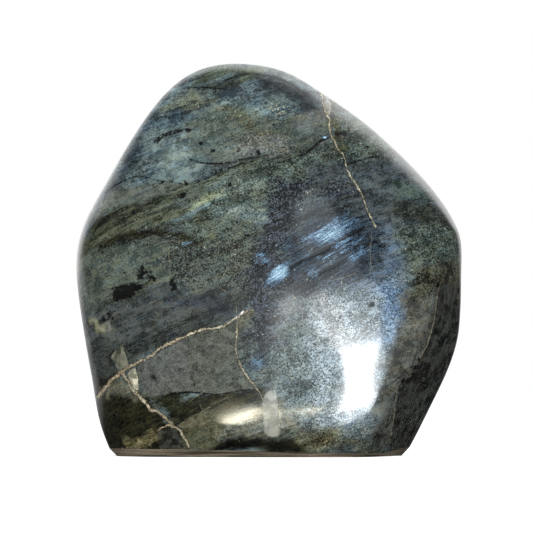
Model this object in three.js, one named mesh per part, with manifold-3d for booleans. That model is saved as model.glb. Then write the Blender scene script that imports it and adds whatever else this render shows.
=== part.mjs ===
// Polished labradorite freeform: one hand-ground, hand-polished stone that stands on a flat sawn base.
// Millimetres, +X right, +Y back, +Z up. The origin is the centre of the footprint's box, on the base plane.
import * as THREE from "three";
import { mergeVertices } from "three/addons/utils/BufferGeometryUtils.js";
import Module from "manifold-3d";

// ---------------------------------------------------------------- driving dimensions
const CENTRE_Z = 52; // height of the point that the outline is measured from
const DETAIL = 16; // subdivision of the starting icosahedron
const SPREAD = [54, 20, 55]; // how the start points are spread over the stone, X Y Z
const FRONT_FOOT = 30.5; // reach of the face in front of the middle plane, carried down to the base plane
const FRONT_LEAN = 0.2; // the face leans back by this slope, so the stone is thickest at the foot
const FOOT_EASE = 2.08; // the lean is gentler towards the foot: amount and height of that
const FOOT_EASE_HEIGHT = 16;
const FOOT_ROLL = 2.2; // the face rolls under just above the base: amount and height of that
const FOOT_ROLL_HEIGHT = 8;
const FACE_BEND = 0.06; // extra lean above the soft bend in the face, its height, and how gradual it is
const FACE_BEND_HEIGHT = 43;
const FACE_BEND_SOFT = 7;
const CHEEK = 0.001; // the face falls away to the left of this X, by this much per square millimetre
const CHEEK_FROM = 25;
const BACK_DEPTH = 17; // the back, at centre height
const BACK_LEAN = 0.06;
const FACE_POWER = 2; // power of the depth in the rounded cross-section

// Outline seen from the front: [degrees from +X towards +Z, radius in mm] about (0, CENTRE_Z).
// Below the base plane it goes on to a rounded keel, which the saw cut takes off.
const OUTLINE = [
  [0, 54.9], [8, 54.6], [16, 53.3], [25, 51.41], [35, 49.67], [45, 48.85], [55, 49.14], [65, 50.2], [75, 52.42],
  [85, 55.84], [95, 58.15], [105, 59.6], [112, 59.5], [120, 57.8], [130, 54.95], [140, 52.9], [148, 52.1], [157, 52.4],
  [166, 53.6], [176, 54.2], [186, 54.0], [195, 54.4], [205, 56.2], [214, 59.4], [222, 63.9], [229, 67.6], [236, 71.0],
  [244, 73.0], [253, 73.6], [262, 74.0], [270, 74.2], [278, 73.6], [286, 71.6], [294, 69.6], [301, 67.6], [308, 66.2],
  [315, 64.0], [323, 62.0], [331, 61.0], [337, 60.3], [341, 59.6], [347, 58.0], [354, 56.0],
];
// How full the cross-section is at each angle of the outline: a higher power has a flatter face and a tighter edge.
const FULL_FRONT = [
  [0, 4.2], [45, 3.3], [90, 3.8], [135, 3.8], [180, 4.6], [225, 5.6], [270, 7.0], [300, 9.0], [325, 8.0],
];
const FULL_BACK = [
  [0, 3.8], [45, 3.4], [90, 3.8], [135, 3.8], [180, 4.4], [225, 5.2], [270, 5.4], [315, 4.6],
];
// Soft swells that hand grinding left in the face: centre X, centre Z, half-widths, height.
const SWELLS = [
  { x: 27, z: 15, wx: 15, wz: 22, h: 1.3 },
  { x: -30, z: 60, wx: 20, wz: 22, h: 0.7 },
  { x: 8, z: 78, wx: 22, wz: 16, h: 0.6 },
];
// The two flats ground on the right side: normal, distance from the origin, blend.
const FLATS = [
  { n: [0.9153, -0.3783, -0.1385], d: 41.75, blend: 2.5 },
  { n: [0.8464, -0.3392, -0.4105], d: 30.5, blend: 2.5 },
];
// The bevel round the base edge: its size at the left end, at the right end, at the back, and where it
// widens again round the right-hand corner, between two values of X.
const BEVEL_LEFT = 2.2;
const BEVEL_RIGHT = 0.9;
const BEVEL_BACK = 1.4;
const BEVEL_CORNER = 2.3;
const BEVEL_CORNER_FROM = 31;
const BEVEL_CORNER_TO = 38;
const BEVEL_POINTS = 88;

// ---------------------------------------------------------------- curves and the surface
// Smooth closed curve through a table of [degrees, value].
function closedSpline(table) {
  const n = table.length;
  const at = table.map((t) => t[0]);
  const v = table.map((t) => t[1]);
  const h = at.map((a, i) => (i + 1 < n ? at[i + 1] - a : at[0] + 360 - a));
  const rows = at.map((_, i) => {
    const j = (i + n - 1) % n;
    const k = (i + 1) % n;
    const row = new Array(n + 1).fill(0);
    row[j] += h[j];
    row[i] += 2 * (h[j] + h[i]);
    row[k] += h[i];
    row[n] = 6 * ((v[k] - v[i]) / h[i] - (v[i] - v[j]) / h[j]);
    return row;
  });
  for (let c = 0; c < n; c++) {
    for (let r = c + 1; r < n; r++) {
      const f = rows[r][c] / rows[c][c];
      if (f) for (let k = c; k <= n; k++) rows[r][k] -= f * rows[c][k];
    }
  }
  const m = new Array(n).fill(0);
  for (let r = n - 1; r >= 0; r--) {
    let s = rows[r][n];
    for (let k = r + 1; k < n; k++) s -= rows[r][k] * m[k];
    m[r] = s / rows[r][r];
  }
  return (deg) => {
    const x = ((((deg - at[0]) % 360) + 360) % 360) + at[0];
    let i = n - 1;
    while (i > 0 && x < at[i]) i--;
    const k = (i + 1) % n;
    const t = x - at[i];
    const w = h[i];
    return (m[i] * (w - t) ** 3 + m[k] * t ** 3) / (6 * w) + (v[i] / w - (m[i] * w) / 6) * (w - t) + (v[k] / w - (m[k] * w) / 6) * t;
  };
}
const outline = closedSpline(OUTLINE);
const fullFront = closedSpline(FULL_FRONT);
const fullBack = closedSpline(FULL_BACK);

function depthAt(x, z, front) {
  if (!front) return Math.max(BACK_DEPTH - BACK_LEAN * (z - CENTRE_Z), 1);
  const roll = Math.max(0, FOOT_ROLL_HEIGHT - z) / FOOT_ROLL_HEIGHT;
  let d = FRONT_FOOT - FRONT_LEAN * z - FOOT_EASE * Math.exp(-z / FOOT_EASE_HEIGHT) - FOOT_ROLL * roll * roll;
  d -= FACE_BEND * FACE_BEND_SOFT * Math.log1p(Math.exp((z - FACE_BEND_HEIGHT) / FACE_BEND_SOFT));
  d -= CHEEK * Math.max(0, CHEEK_FROM - x) ** 2;
  for (const s of SWELLS) d += s.h * Math.exp(-(((x - s.x) / s.wx) ** 2) - ((z - s.z) / s.wz) ** 2);
  return Math.max(d, 1);
}

function softMin(a, b, k) {
  const h = Math.max(k - Math.abs(a - b), 0) / k;
  return Math.min(a, b) - (h * h * k) / 4;
}

// Distance from (0, 0, CENTRE_Z) to the stone's skin along the unit vector u.
function reach(u) {
  const deg = (Math.atan2(u.z, u.x) * 180) / Math.PI;
  const radius = outline(deg);
  const power = u.y < 0 ? fullFront(deg) : fullBack(deg);
  const across = Math.hypot(u.x, u.z);
  let lo = 0;
  let hi = 140;
  for (let i = 0; i < 44; i++) {
    const t = (lo + hi) / 2;
    const d = depthAt(t * u.x, t * u.z + CENTRE_Z, u.y < 0);
    const f = ((t * across) / radius) ** power + ((t * Math.abs(u.y)) / d) ** FACE_POWER;
    if (f < 1) lo = t;
    else hi = t;
  }
  let t = (lo + hi) / 2;
  for (const flat of FLATS) {
    const n = new THREE.Vector3(...flat.n).normalize();
    const towards = u.dot(n);
    if (towards > 0.02) t = softMin(t, (flat.d - n.z * CENTRE_Z) / towards, flat.blend);
  }
  return t;
}

const inside = (p) => {
  const u = new THREE.Vector3(p.x, p.y, p.z - CENTRE_Z);
  const far = u.length();
  return far < 1e-9 || far < reach(u.divideScalar(far));
};

// ---------------------------------------------------------------- solids
const wasm = await Module();
wasm.setup();

function solidOf(geometry) {
  const g = geometry.clone();
  g.deleteAttribute("normal");
  g.deleteAttribute("uv");
  const merged = mergeVertices(g, 1e-4);
  return new wasm.Manifold(
    new wasm.Mesh({
      numProp: 3,
      vertProperties: new Float32Array(merged.attributes.position.array),
      triVerts: new Uint32Array(merged.index.array),
    }),
  );
}

// The whole stone before the saw cut, moved out from a fine icosahedron.
const body = new THREE.IcosahedronGeometry(1, DETAIL);
{
  const at = body.attributes.position;
  const u = new THREE.Vector3();
  for (let i = 0; i < at.count; i++) {
    u.fromBufferAttribute(at, i);
    u.set(u.x * SPREAD[0], u.y * SPREAD[1], u.z * SPREAD[2]).normalize();
    const t = reach(u);
    at.setXYZ(i, u.x * t, u.y * t, u.z * t + CENTRE_Z);
  }
}

// The outline of the stone at the top of its base bevel, and the bevel's size there.
const bevelAt = (p) => {
  const side = THREE.MathUtils.smoothstep(p.x, -34, 40);
  const front = THREE.MathUtils.lerp(BEVEL_LEFT, BEVEL_RIGHT, side);
  const size = THREE.MathUtils.lerp(front, BEVEL_BACK, THREE.MathUtils.smoothstep(p.y, -4, 10));
  return THREE.MathUtils.lerp(size, BEVEL_CORNER, THREE.MathUtils.smoothstep(p.x, BEVEL_CORNER_FROM, BEVEL_CORNER_TO));
};
const ring = [];
for (let i = 0; i < BEVEL_POINTS; i++) {
  const a = (i / BEVEL_POINTS) * 2 * Math.PI;
  const way = new THREE.Vector3(SPREAD[0] * Math.cos(a), SPREAD[1] * Math.sin(a), 0);
  let lo = 0;
  let hi = 3;
  for (let k = 0; k < 40; k++) {
    const t = (lo + hi) / 2;
    const p = way.clone().multiplyScalar(t);
    p.z = bevelAt(p);
    if (inside(p)) lo = t;
    else hi = t;
  }
  const p = way.clone().multiplyScalar(lo);
  p.z = bevelAt(p);
  ring.push(p);
}
const outward = ring.map((_, i) => {
  const a = ring[(i + BEVEL_POINTS - 1) % BEVEL_POINTS];
  const b = ring[(i + 1) % BEVEL_POINTS];
  return new THREE.Vector3(b.y - a.y, a.x - b.x, 0).normalize();
});

// A dish with sides at 45 degrees that touches the stone along that outline: cutting with it leaves the bevel.
const DISH_TOP = 130;
const dish = new THREE.CylinderGeometry(1, 1, 1, BEVEL_POINTS, 1);
dish.rotateX(Math.PI / 2);
{
  const at = dish.attributes.position;
  for (let i = 0; i < at.count; i++) {
    const x = at.getX(i);
    const y = at.getY(i);
    const z = at.getZ(i) > 0 ? DISH_TOP : 0;
    if (Math.hypot(x, y) < 1e-6) {
      at.setXYZ(i, 0, 0, z);
      continue;
    }
    const k = (Math.round((Math.atan2(y, x) / (2 * Math.PI)) * BEVEL_POINTS) + BEVEL_POINTS) % BEVEL_POINTS;
    const out = z - ring[k].z;
    at.setXYZ(i, ring[k].x + outward[k].x * out, ring[k].y + outward[k].y * out, z);
  }
}

// The saw cut is the dish's own flat floor, so the base comes out as one plane at Z = 0.
const stone = solidOf(body).intersect(solidOf(dish));

// ---------------------------------------------------------------- the part
const cut = stone.getMesh();
const geometry = new THREE.BufferGeometry();
const points = new Float32Array(cut.numVert * 3);
for (let i = 0; i < cut.numVert; i++) points.set(cut.vertProperties.subarray(i * cut.numProp, i * cut.numProp + 3), i * 3);
geometry.setAttribute("position", new THREE.BufferAttribute(points, 3));
geometry.setIndex(new THREE.BufferAttribute(new Uint32Array(cut.triVerts), 1));
geometry.computeVertexNormals();
geometry.computeBoundingBox();
const middle = geometry.boundingBox.getCenter(new THREE.Vector3());

const polished = new THREE.MeshStandardMaterial({ color: 0x4a5150, roughness: 0.18, metalness: 0.0 });
const mesh = new THREE.Mesh(geometry, polished);
mesh.name = "labradorite_stone";
mesh.position.set(-middle.x, -middle.y, 0);

const part = new THREE.Group();
part.name = "polished_labradorite";
part.add(mesh);
export default part;
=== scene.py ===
"""Polished labradorite freeform: the fine skin, its markings and the studio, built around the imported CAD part."""
import math
import bpy
import numpy as np
from mathutils import Matrix, Vector


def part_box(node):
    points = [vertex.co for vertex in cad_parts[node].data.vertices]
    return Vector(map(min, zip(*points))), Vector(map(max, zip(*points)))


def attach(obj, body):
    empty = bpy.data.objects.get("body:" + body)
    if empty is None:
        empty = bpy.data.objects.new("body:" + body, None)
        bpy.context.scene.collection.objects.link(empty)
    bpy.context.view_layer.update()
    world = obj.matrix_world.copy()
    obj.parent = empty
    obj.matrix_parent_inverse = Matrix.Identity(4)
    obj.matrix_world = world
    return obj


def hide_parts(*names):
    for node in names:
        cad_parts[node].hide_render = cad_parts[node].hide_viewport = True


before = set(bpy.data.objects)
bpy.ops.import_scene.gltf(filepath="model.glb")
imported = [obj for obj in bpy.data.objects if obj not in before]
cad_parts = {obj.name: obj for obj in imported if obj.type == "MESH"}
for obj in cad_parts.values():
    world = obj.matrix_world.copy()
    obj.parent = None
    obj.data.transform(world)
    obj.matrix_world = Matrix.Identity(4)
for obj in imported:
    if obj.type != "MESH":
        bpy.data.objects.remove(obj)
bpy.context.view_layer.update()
STONE = "labradorite_stone"
SLOT = "polished_labradorite"
lo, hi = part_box(STONE)

# ---------------------------------------------------------------- the skin of the CAD stone, in millimetres
CZ = 52.0
OUTLINE = [
    (0, 54.9), (8, 54.6), (16, 53.3), (25, 51.41), (35, 49.67), (45, 48.85), (55, 49.14), (65, 50.2), (75, 52.42),
    (85, 55.84), (95, 58.15), (105, 59.6), (112, 59.5), (120, 57.8), (130, 54.95), (140, 52.9), (148, 52.1), (157, 52.4),
    (166, 53.6), (176, 54.2), (186, 54.0), (195, 54.4), (205, 56.2), (214, 59.4), (222, 63.9), (229, 67.6), (236, 71.0),
    (244, 73.0), (253, 73.6), (262, 74.0), (270, 74.2), (278, 73.6), (286, 71.6), (294, 69.6), (301, 67.6), (308, 66.2),
    (315, 64.0), (323, 62.0), (331, 61.0), (337, 60.3), (341, 59.6), (347, 58.0), (354, 56.0)]
FULL_FRONT = [(0, 4.2), (45, 3.3), (90, 3.8), (135, 3.8), (180, 4.6), (225, 5.6), (270, 7.0), (300, 9.0), (325, 8.0)]
FULL_BACK = [(0, 3.8), (45, 3.4), (90, 3.8), (135, 3.8), (180, 4.4), (225, 5.2), (270, 5.4), (315, 4.6)]
SWELLS = [(27, 15, 15, 22, 1.3), (-30, 60, 20, 22, 0.7), (8, 78, 22, 16, 0.6)]
FLATS = [((0.9153, -0.3783, -0.1385), 41.75, 2.5), ((0.8464, -0.3392, -0.4105), 30.5, 2.5)]
BEVEL_LEFT, BEVEL_RIGHT, BEVEL_BACK, BEVEL_CORNER = 2.2, 0.9, 1.4, 2.3
SPREAD = np.array([54.0, 20.0, 55.0])


def closed_spline(table):
    n = len(table)
    a = np.array([t[0] for t in table], float)
    r = np.array([t[1] for t in table], float)
    h = np.roll(a, -1) - a
    h[-1] += 360
    m, b = np.zeros((n, n)), np.zeros(n)
    for i in range(n):
        j, k = (i - 1) % n, (i + 1) % n
        m[i, j] += h[j]
        m[i, i] += 2 * (h[j] + h[i])
        m[i, k] += h[i]
        b[i] = 6 * ((r[k] - r[i]) / h[i] - (r[i] - r[j]) / h[j])
    m = np.linalg.solve(m, b)

    def at(deg):
        x = np.mod(deg - a[0], 360) + a[0]
        i = np.clip(np.searchsorted(a, x, side="right") - 1, 0, n - 1)
        k = (i + 1) % n
        t, w = x - a[i], h[i]
        return (m[i] * (w - t) ** 3 + m[k] * t**3) / (6 * w) + (r[i] / w - m[i] * w / 6) * (w - t) + (r[k] / w - m[k] * w / 6) * t

    return at


outline, full_front, full_back = closed_spline(OUTLINE), closed_spline(FULL_FRONT), closed_spline(FULL_BACK)


def smooth(x, a, b):
    t = np.clip((x - a) / (b - a), 0, 1)
    return t * t * (3 - 2 * t)


def depth_at(x, z, front):
    face = 30.5 - 0.2 * z - 2.08 * np.exp(-z / 16) - 2.2 * (np.maximum(0, 8 - z) / 8) ** 2
    face = face - 0.06 * 7 * np.log1p(np.exp((z - 43) / 7)) - 0.001 * np.maximum(0, 25 - x) ** 2
    face = face + sum(h * np.exp(-(((x - cx) / wx) ** 2) - ((z - cz) / wz) ** 2) for cx, cz, wx, wz, h in SWELLS)
    return np.maximum(np.where(front, face, 17 - 0.06 * (z - CZ)), 1.0)


def soft_min(a, b, k):
    h = np.maximum(k - np.abs(a - b), 0) / k
    return np.minimum(a, b) - h * h * k / 4


def reach(u):
    """How far the skin is from (0, 0, CZ) along these unit vectors, before the base is cut."""
    deg = np.degrees(np.arctan2(u[:, 2], u[:, 0]))
    front = u[:, 1] < 0
    radius, power = outline(deg), np.where(front, full_front(deg), full_back(deg))
    across, ay = np.hypot(u[:, 0], u[:, 2]), np.abs(u[:, 1])
    low, high = np.zeros(len(u)), np.full(len(u), 140.0)
    for _ in range(36):
        t = (low + high) / 2
        d = depth_at(t * u[:, 0], t * u[:, 2] + CZ, front)
        inside = (t * across / radius) ** power + (t * ay / d) ** 2 < 1
        low, high = np.where(inside, t, low), np.where(inside, high, t)
    t = (low + high) / 2
    for n, off, blend in FLATS:
        n = np.array(n) / np.linalg.norm(n)
        towards = u @ n
        t = soft_min(t, np.where(towards > 0.02, (off - n[2] * CZ) / np.maximum(towards, 0.02), 1e3), blend)
    return t


def unit(v):
    return v / np.linalg.norm(v, axis=1)[:, None]


# ---------------------------------------------------------------- the face chart
# Markings are laid out on a flat chart of the display face, in mm right of the stone's middle and above its base.
# A point of the skin is carried to the chart by central projection from a point 1.2 m in front of the face.
VIEW_DIST = 1200.0
TILT = math.radians(-1.6)
AIM = np.array([-0.84, 0.0, 53.1])
CHART_MID = (-0.84, 53.3)
EYE = AIM + VIEW_DIST * np.array([0, -math.cos(TILT), math.sin(TILT)])
AHEAD = (AIM - EYE) / VIEW_DIST
ABOVE = np.cross([1.0, 0, 0], AHEAD)


def chart(p):
    q = p - EYE
    f = q @ AHEAD / VIEW_DIST
    x, z = CHART_MID[0] + q[:, 0] / f, CHART_MID[1] + (q @ ABOVE) / f
    # Seams and bands run on through the stone: behind the rim they lean away and wander.
    d = p[:, 1] - 2.0
    d = 0.5 * (d + np.sqrt(d * d + 6.0))
    wx = 0.30 + 0.22 * np.sin(0.075 * p[:, 2] + 1.3) + 0.14 * np.sin(0.11 * p[:, 0] + 0.06 * p[:, 1] + 4.0)
    wz = -0.24 + 0.26 * np.sin(0.07 * p[:, 0] + 0.4) + 0.15 * np.sin(0.12 * p[:, 2] + 0.05 * p[:, 1] + 2.0)
    return np.stack([x + d * wx, z + d * wz], 1)


def flow(c):
    """Height across the lamellae: they rise to the right, steeply at the left rim."""
    x, z = c[:, 0], c[:, 1]
    rise = 0.34 * x - 7.0 * np.exp(-(x + 54) / 11) + 6.0 / (1 + np.exp(-(x - 8) / 7)) * np.exp(-(((z - 57) / 16) ** 2))
    return z - rise

# ---------------------------------------------------------------- markings of the face, on the chart
# lines: (right, up, half-width, tone) in mm, tone 0 pale to 1 rusty; cracks carry strength instead of tone
SEAMS = {
  "a": {
    "long_seam": [(-48.7, 16.5, 0.34, 0.7), (-48.0, 16.7, 0.51, 0.8), (-46.3, 18.9, 0.62, 0.9), (-44.6, 21.0, 0.62, 0.9), (-41.6, 23.6, 0.62, 0.85), (-39.0, 25.3, 0.51, 0.8), (-35.6, 27.0, 0.45, 0.8), (-33.0, 28.3, 0.45, 0.7), (-31.3, 30.0, 0.51, 0.6), (-28.7, 31.3, 0.48, 0.75), (-26.2, 32.6, 0.42, 0.8), (-23.2, 33.9, 0.34, 0.6), (-20.1, 35.2, 0.31, 0.35), (-17.6, 35.8, 0.36, 0.3), (-14.5, 36.0, 0.36, 0.35), (-12.4, 36.9, 0.36, 0.45), (-9.8, 38.4, 0.36, 0.35), (-7.2, 40.3, 0.34, 0.4), (-4.5, 41.4, 0.2, 0.4)],
    "top_seam": [(14.6, 102.0, 0.319, 0.11), (14.9, 101.2, 0.319, 0.11), (15.1, 99.0, 0.255, 0.11), (15.8, 96.9, 0.28, 0.16), (16.8, 94.3, 0.319, 0.25), (16.8, 91.7, 0.28, 0.32), (17.9, 89.1, 0.255, 0.34), (19.2, 86.5, 0.255, 0.25), (20.9, 84.4, 0.255, 0.11), (21.6, 81.4, 0.268, 0.05), (22.6, 78.8, 0.307, 0.05), (24.4, 76.2, 0.28, 0.05), (26.1, 73.2, 0.268, 0.04), (26.9, 70.7, 0.255, 0.04), (28.2, 67.7, 0.255, 0.04), (29.5, 65.1, 0.319, 0.05), (29.9, 64.2, 0.179, 0.07)],
    "block_edge": [(1.8, 18.9, 0.098, 0.1), (2.2, 15.4, 0.119, 0.05), (2.6, 12.0, 0.14, 0.05), (2.8, 9.1, 0.154, 0.0), (2.6, 6.4, 0.098, 0.1)],
    "faint_gold": [(28.7, 63.0, 0.056, 0.5), (28.4, 59.9, 0.119, 0.7), (28.2, 57.4, 0.119, 0.7), (28.5, 53.9, 0.119, 0.6), (28.2, 50.5, 0.056, 0.5)],
    "upright": [(-28.6, 60.7, 0.04, 0.2), (-28.3, 57.9, 0.1, 0.15), (-28.0, 54.6, 0.1, 0.15), (-27.7, 51.7, 0.085, 0.2), (-27.5, 49.2, 0.04, 0.2)],
  },
  "b": {
    "branch_seam": [(-42.1, 24.1, 0.22, 0.9), (-41.6, 23.6, 0.39, 0.9), (-39.9, 21.4, 0.48, 0.6), (-38.6, 18.9, 0.51, 0.35), (-36.5, 16.7, 0.56, 0.4), (-34.7, 15.0, 0.56, 0.4), (-33.0, 12.9, 0.62, 0.6), (-30.9, 12.4, 0.45, 0.5), (-28.7, 10.3, 0.48, 0.8), (-26.2, 8.1, 0.45, 0.85), (-24.9, 6.8, 0.36, 0.5), (-23.6, 4.7, 0.42, 0.5), (-22.7, 2.8, 0.62, 0.45)],
    "cross_seam": [(-14.5, 48.4, 0.055, 0.2), (-13.7, 47.2, 0.117, 0.25), (-11.1, 45.5, 0.117, 0.2), (-9.8, 44.6, 0.096, 0.2), (-9.2, 41.2, 0.117, 0.2), (-9.0, 37.8, 0.214, 0.35), (-9.2, 33.5, 0.247, 0.2), (-9.4, 30.0, 0.234, 0.2), (-8.5, 26.6, 0.214, 0.2), (-7.2, 24.0, 0.289, 0.25), (-5.5, 21.4, 0.31, 0.25), (-3.4, 18.9, 0.234, 0.25), (-2.1, 16.7, 0.193, 0.3), (-1.2, 15.0, 0.151, 0.35)],
    "scratch1": [(29.9, 50.9, 0.08, 0.0), (31.6, 50.6, 0.14, 0.0), (34.4, 50.5, 0.08, 0.0)],
    "scratch2": [(23.2, 45.3, 0.06, 0.0), (26.0, 46.6, 0.13, 0.0), (28.5, 47.8, 0.13, 0.0), (30.4, 48.7, 0.06, 0.0)],
    "scratch3": [(17.0, 49.2, 0.06, 0.0), (21.2, 50.3, 0.11, 0.0), (24.8, 51.7, 0.06, 0.0)],
  },
  "c": {
    "hair1": [(-23.2, 14.6, 0.06, 0.2), (-20.1, 17.1, 0.105, 0.2), (-18.1, 18.5, 0.128, 0.2), (-16.7, 19.3, 0.15, 0.25), (-15.9, 20.1, 0.06, 0.3)],
    "hair2": [(-25.1, 9.1, 0.077, 0.6), (-21.7, 11.2, 0.106, 0.5), (-18.4, 12.9, 0.134, 0.4), (-15.4, 14.6, 0.134, 0.3), (-11.5, 16.7, 0.077, 0.3)],
    "ridge_line": [(48.1, 48.7, 0.078, 0.2), (47.3, 46.7, 0.128, 0.2), (46.2, 38.3, 0.195, 0.1), (44.2, 31.3, 0.195, 0.1), (41.1, 25.6, 0.167, 0.15), (39.7, 22.8, 0.137, 0.2), (36.1, 20.0, 0.108, 0.2), (35.6, 17.2, 0.137, 0.15), (34.8, 10.2, 0.167, 0.15), (33.8, 3.2, 0.137, 0.25)],
    "spur": [(-31.6, 7.1, 0.22, 0.9), (-30.2, 8.1, 0.31, 0.85), (-28.5, 8.8, 0.36, 0.85), (-26.2, 8.1, 0.45, 0.9)],
    "hair3": [(-38.3, 24.5, 0.11, 0.3), (-36.9, 26.5, 0.14, 0.4), (-36.3, 27.6, 0.08, 0.4)],
  },
  "d": {
    "hair4": [(-19.7, 17.1, 0.06, 0.2), (-19.3, 14.1, 0.105, 0.2), (-18.0, 12.0, 0.128, 0.3), (-18.0, 9.4, 0.128, 0.35), (-19.3, 8.1, 0.06, 0.3)],
    "hair5": [(-17.6, 9.8, 0.083, 0.1), (-15.9, 10.4, 0.105, 0.05), (-15.0, 9.7, 0.105, 0.1), (-14.9, 6.4, 0.105, 0.2), (-15.4, 3.4, 0.083, 0.3)],
    "hair6": [(-12.5, 5.2, 0.08, 0.4), (-10.5, 5.6, 0.13, 0.3), (-8.3, 5.9, 0.08, 0.3)],
    "side_edge": [(-41.7, 29.3, 0.08, 0.3), (-40.5, 26.5, 0.14, 0.3), (-39.3, 24.0, 0.14, 0.3)],
    "fleck": [(21.7, 92.2, 0.08, 0.2), (22.9, 91.6, 0.22, 0.1), (23.7, 91.9, 0.08, 0.2)],
  },
}
CRACKS = {
  "a": {
    "d1": [(-32.1, 87.9, 0.263, 1), (-31.7, 88.3, 0.527, 1), (-30.7, 89.2, 0.469, 1), (-29.6, 90.0, 0.469, 1), (-28.2, 90.5, 0.376, 1), (-27.0, 90.8, 0.413, 1), (-25.1, 91.2, 0.32, 1), (-22.7, 91.5, 0.469, 1), (-21.7, 91.5, 0.151, 1)],
    "d2": [(8.3, 84.2, 0.146, 1), (9.3, 84.4, 0.401, 1), (11.9, 86.1, 0.365, 1), (13.6, 87.5, 0.401, 1), (14.5, 88.3, 0.456, 1), (16.8, 89.3, 0.255, 1)],
    "d3": [(21.5, 81.5, 0.096, 0.88), (22.6, 82.1, 0.204, 1), (26.1, 83.3, 0.168, 1), (30.4, 84.0, 0.132, 0.88), (32.1, 83.2, 0.132, 0.62)],
    "d4": [(-46.7, 70.8, 0.153, 0.75), (-45.5, 73.7, 0.198, 0.88), (-42.5, 76.2, 0.225, 1), (-39.5, 78.0, 0.198, 0.88), (-35.6, 78.4, 0.153, 0.75), (-32.2, 77.5, 0.126, 0.62), (-28.7, 77.1, 0.126, 0.62), (-26.2, 76.7, 0.153, 0.88), (-22.3, 76.2, 0.126, 0.75), (-18.8, 77.5, 0.126, 0.88), (-15.4, 78.8, 0.099, 0.75), (-11.1, 80.1, 0.072, 0.62)],
    "d8": [(-29.0, 16.9, 0.11, 0.88), (-27.9, 17.6, 0.22, 1), (-22.7, 18.0, 0.22, 1), (-19.3, 17.8, 0.17, 1), (-14.1, 17.4, 0.14, 1), (-9.0, 18.4, 0.2, 1), (-3.8, 18.9, 0.14, 1), (-2.1, 18.6, 0.06, 1)],
    "arc": [(-16.1, 102.3, 0.11, 0.5), (-11.6, 105.6, 0.22, 0.75), (-6.9, 107.2, 0.25, 0.88), (-2.1, 107.0, 0.22, 0.88), (2.9, 105.8, 0.22, 0.88), (7.4, 103.7, 0.2, 0.75), (10.8, 100.6, 0.14, 0.62)],
    "dx": [(5.2, 52.9, 0.088, 0.88), (10.0, 55.4, 0.242, 1), (14.7, 57.6, 0.275, 1), (19.2, 60.2, 0.242, 1), (23.2, 62.1, 0.187, 1), (26.0, 63.8, 0.088, 1)],
  },
  "b": {
    "d5": [(-22.9, 84.0, 0.121, 0.75), (-21.9, 83.1, 0.242, 0.88), (-18.4, 82.2, 0.22, 1), (-14.1, 82.1, 0.275, 1), (-11.5, 82.2, 0.275, 1), (-7.2, 83.3, 0.308, 0.88), (-2.9, 84.0, 0.308, 0.88), (1.3, 84.8, 0.187, 0.75)],
    "d6": [(-50.9, 59.0, 0.22, 0.6), (-48.9, 63.4, 0.34, 0.8), (-44.6, 67.2, 0.39, 0.8), (-39.9, 69.8, 0.36, 0.8), (-34.7, 70.7, 0.25, 0.7), (-31.3, 71.1, 0.14, 0.5)],
    "d7": [(-24.9, 102.9, 0.083, 0.62), (-21.0, 103.5, 0.146, 0.88), (-15.9, 103.3, 0.177, 1), (-12.2, 103.0, 0.146, 0.88), (-9.8, 102.8, 0.083, 0.62)],
    "d6b": [(-44.2, 59.0, 0.14, 0.5), (-41.6, 60.4, 0.28, 0.6), (-37.3, 62.5, 0.36, 0.7), (-33.0, 62.9, 0.39, 0.7), (-28.7, 61.2, 0.36, 0.7), (-25.3, 60.8, 0.17, 0.5)],
    "dy": [(7.4, 48.9, 0.08, 0.7), (11.9, 50.9, 0.17, 0.8), (17.0, 53.1, 0.2, 0.8), (21.5, 55.7, 0.14, 0.8), (24.3, 57.4, 0.08, 0.7)],
    "dz": [(13.6, 67.5, 0.08, 0.7), (16.4, 68.4, 0.17, 0.9), (20.3, 69.7, 0.14, 0.8), (23.2, 71.1, 0.08, 0.7)],
    "edge_right": [(34.4, 20.6, 0.14, 0.8), (36.6, 22.3, 0.2, 0.7), (38.9, 24.7, 0.17, 0.6), (42.2, 25.4, 0.17, 0.5), (46.2, 26.5, 0.08, 0.4)],
  },
}
SPOTS = [(-42.5, 45.6, 1.9), (-40.0, 46.2, 2.1), (-37.7, 47.6, 1.4), (-36.1, 50.2, 1.18), (-35.4, 52.0, 0.95), (-33.8, 50.6, 0.84), (-32.4, 49.9, 0.62), (-46.3, 38.3, 0.62), (-45.0, 39.1, 0.56), (-47.6, 57.6, 0.73), (-46.4, 58.6, 0.39), (19.9, 90.6, 0.9), (21.3, 90.7, 0.8), (21.0, 90.6, 0.48), (22.0, 90.5, 0.34), (27.4, 87.0, 0.34), (1.0, 93.0, 0.39), (37.5, 20.7, 0.56), (38.6, 21.3, 0.48), (39.7, 22.0, 0.48), (40.8, 23.0, 0.39), (41.1, 24.8, 0.45), (43.4, 20.3, 0.36), (42.1, 26.8, 0.34), (30.7, 5.6, 0.62), (34.2, 5.2, 0.34), (47.2, 50.3, 0.45), (47.4, 48.0, 0.42), (-27.6, 48.7, 0.62), (-26.7, 47.3, 0.51), (-25.7, 46.4, 0.34), (-22.9, 76.4, 0.34), (-24.8, 73.1, 0.45), (-24.0, 73.9, 0.31), (-29.9, 76.7, 0.34), (-38.3, 68.6, 0.34), (-11.1, 75.9, 0.31), (-15.6, 85.7, 0.25), (-18.7, 87.9, 0.31), (-8.6, 85.4, 0.28), (-0.4, 98.6, 0.34), (24.6, 15.3, 0.28), (28.5, 42.5, 0.28), (-32.4, 22.0, 0.28), (-3.2, 85.4, 0.28), (-6.6, 61.8, 0.28)]
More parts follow.
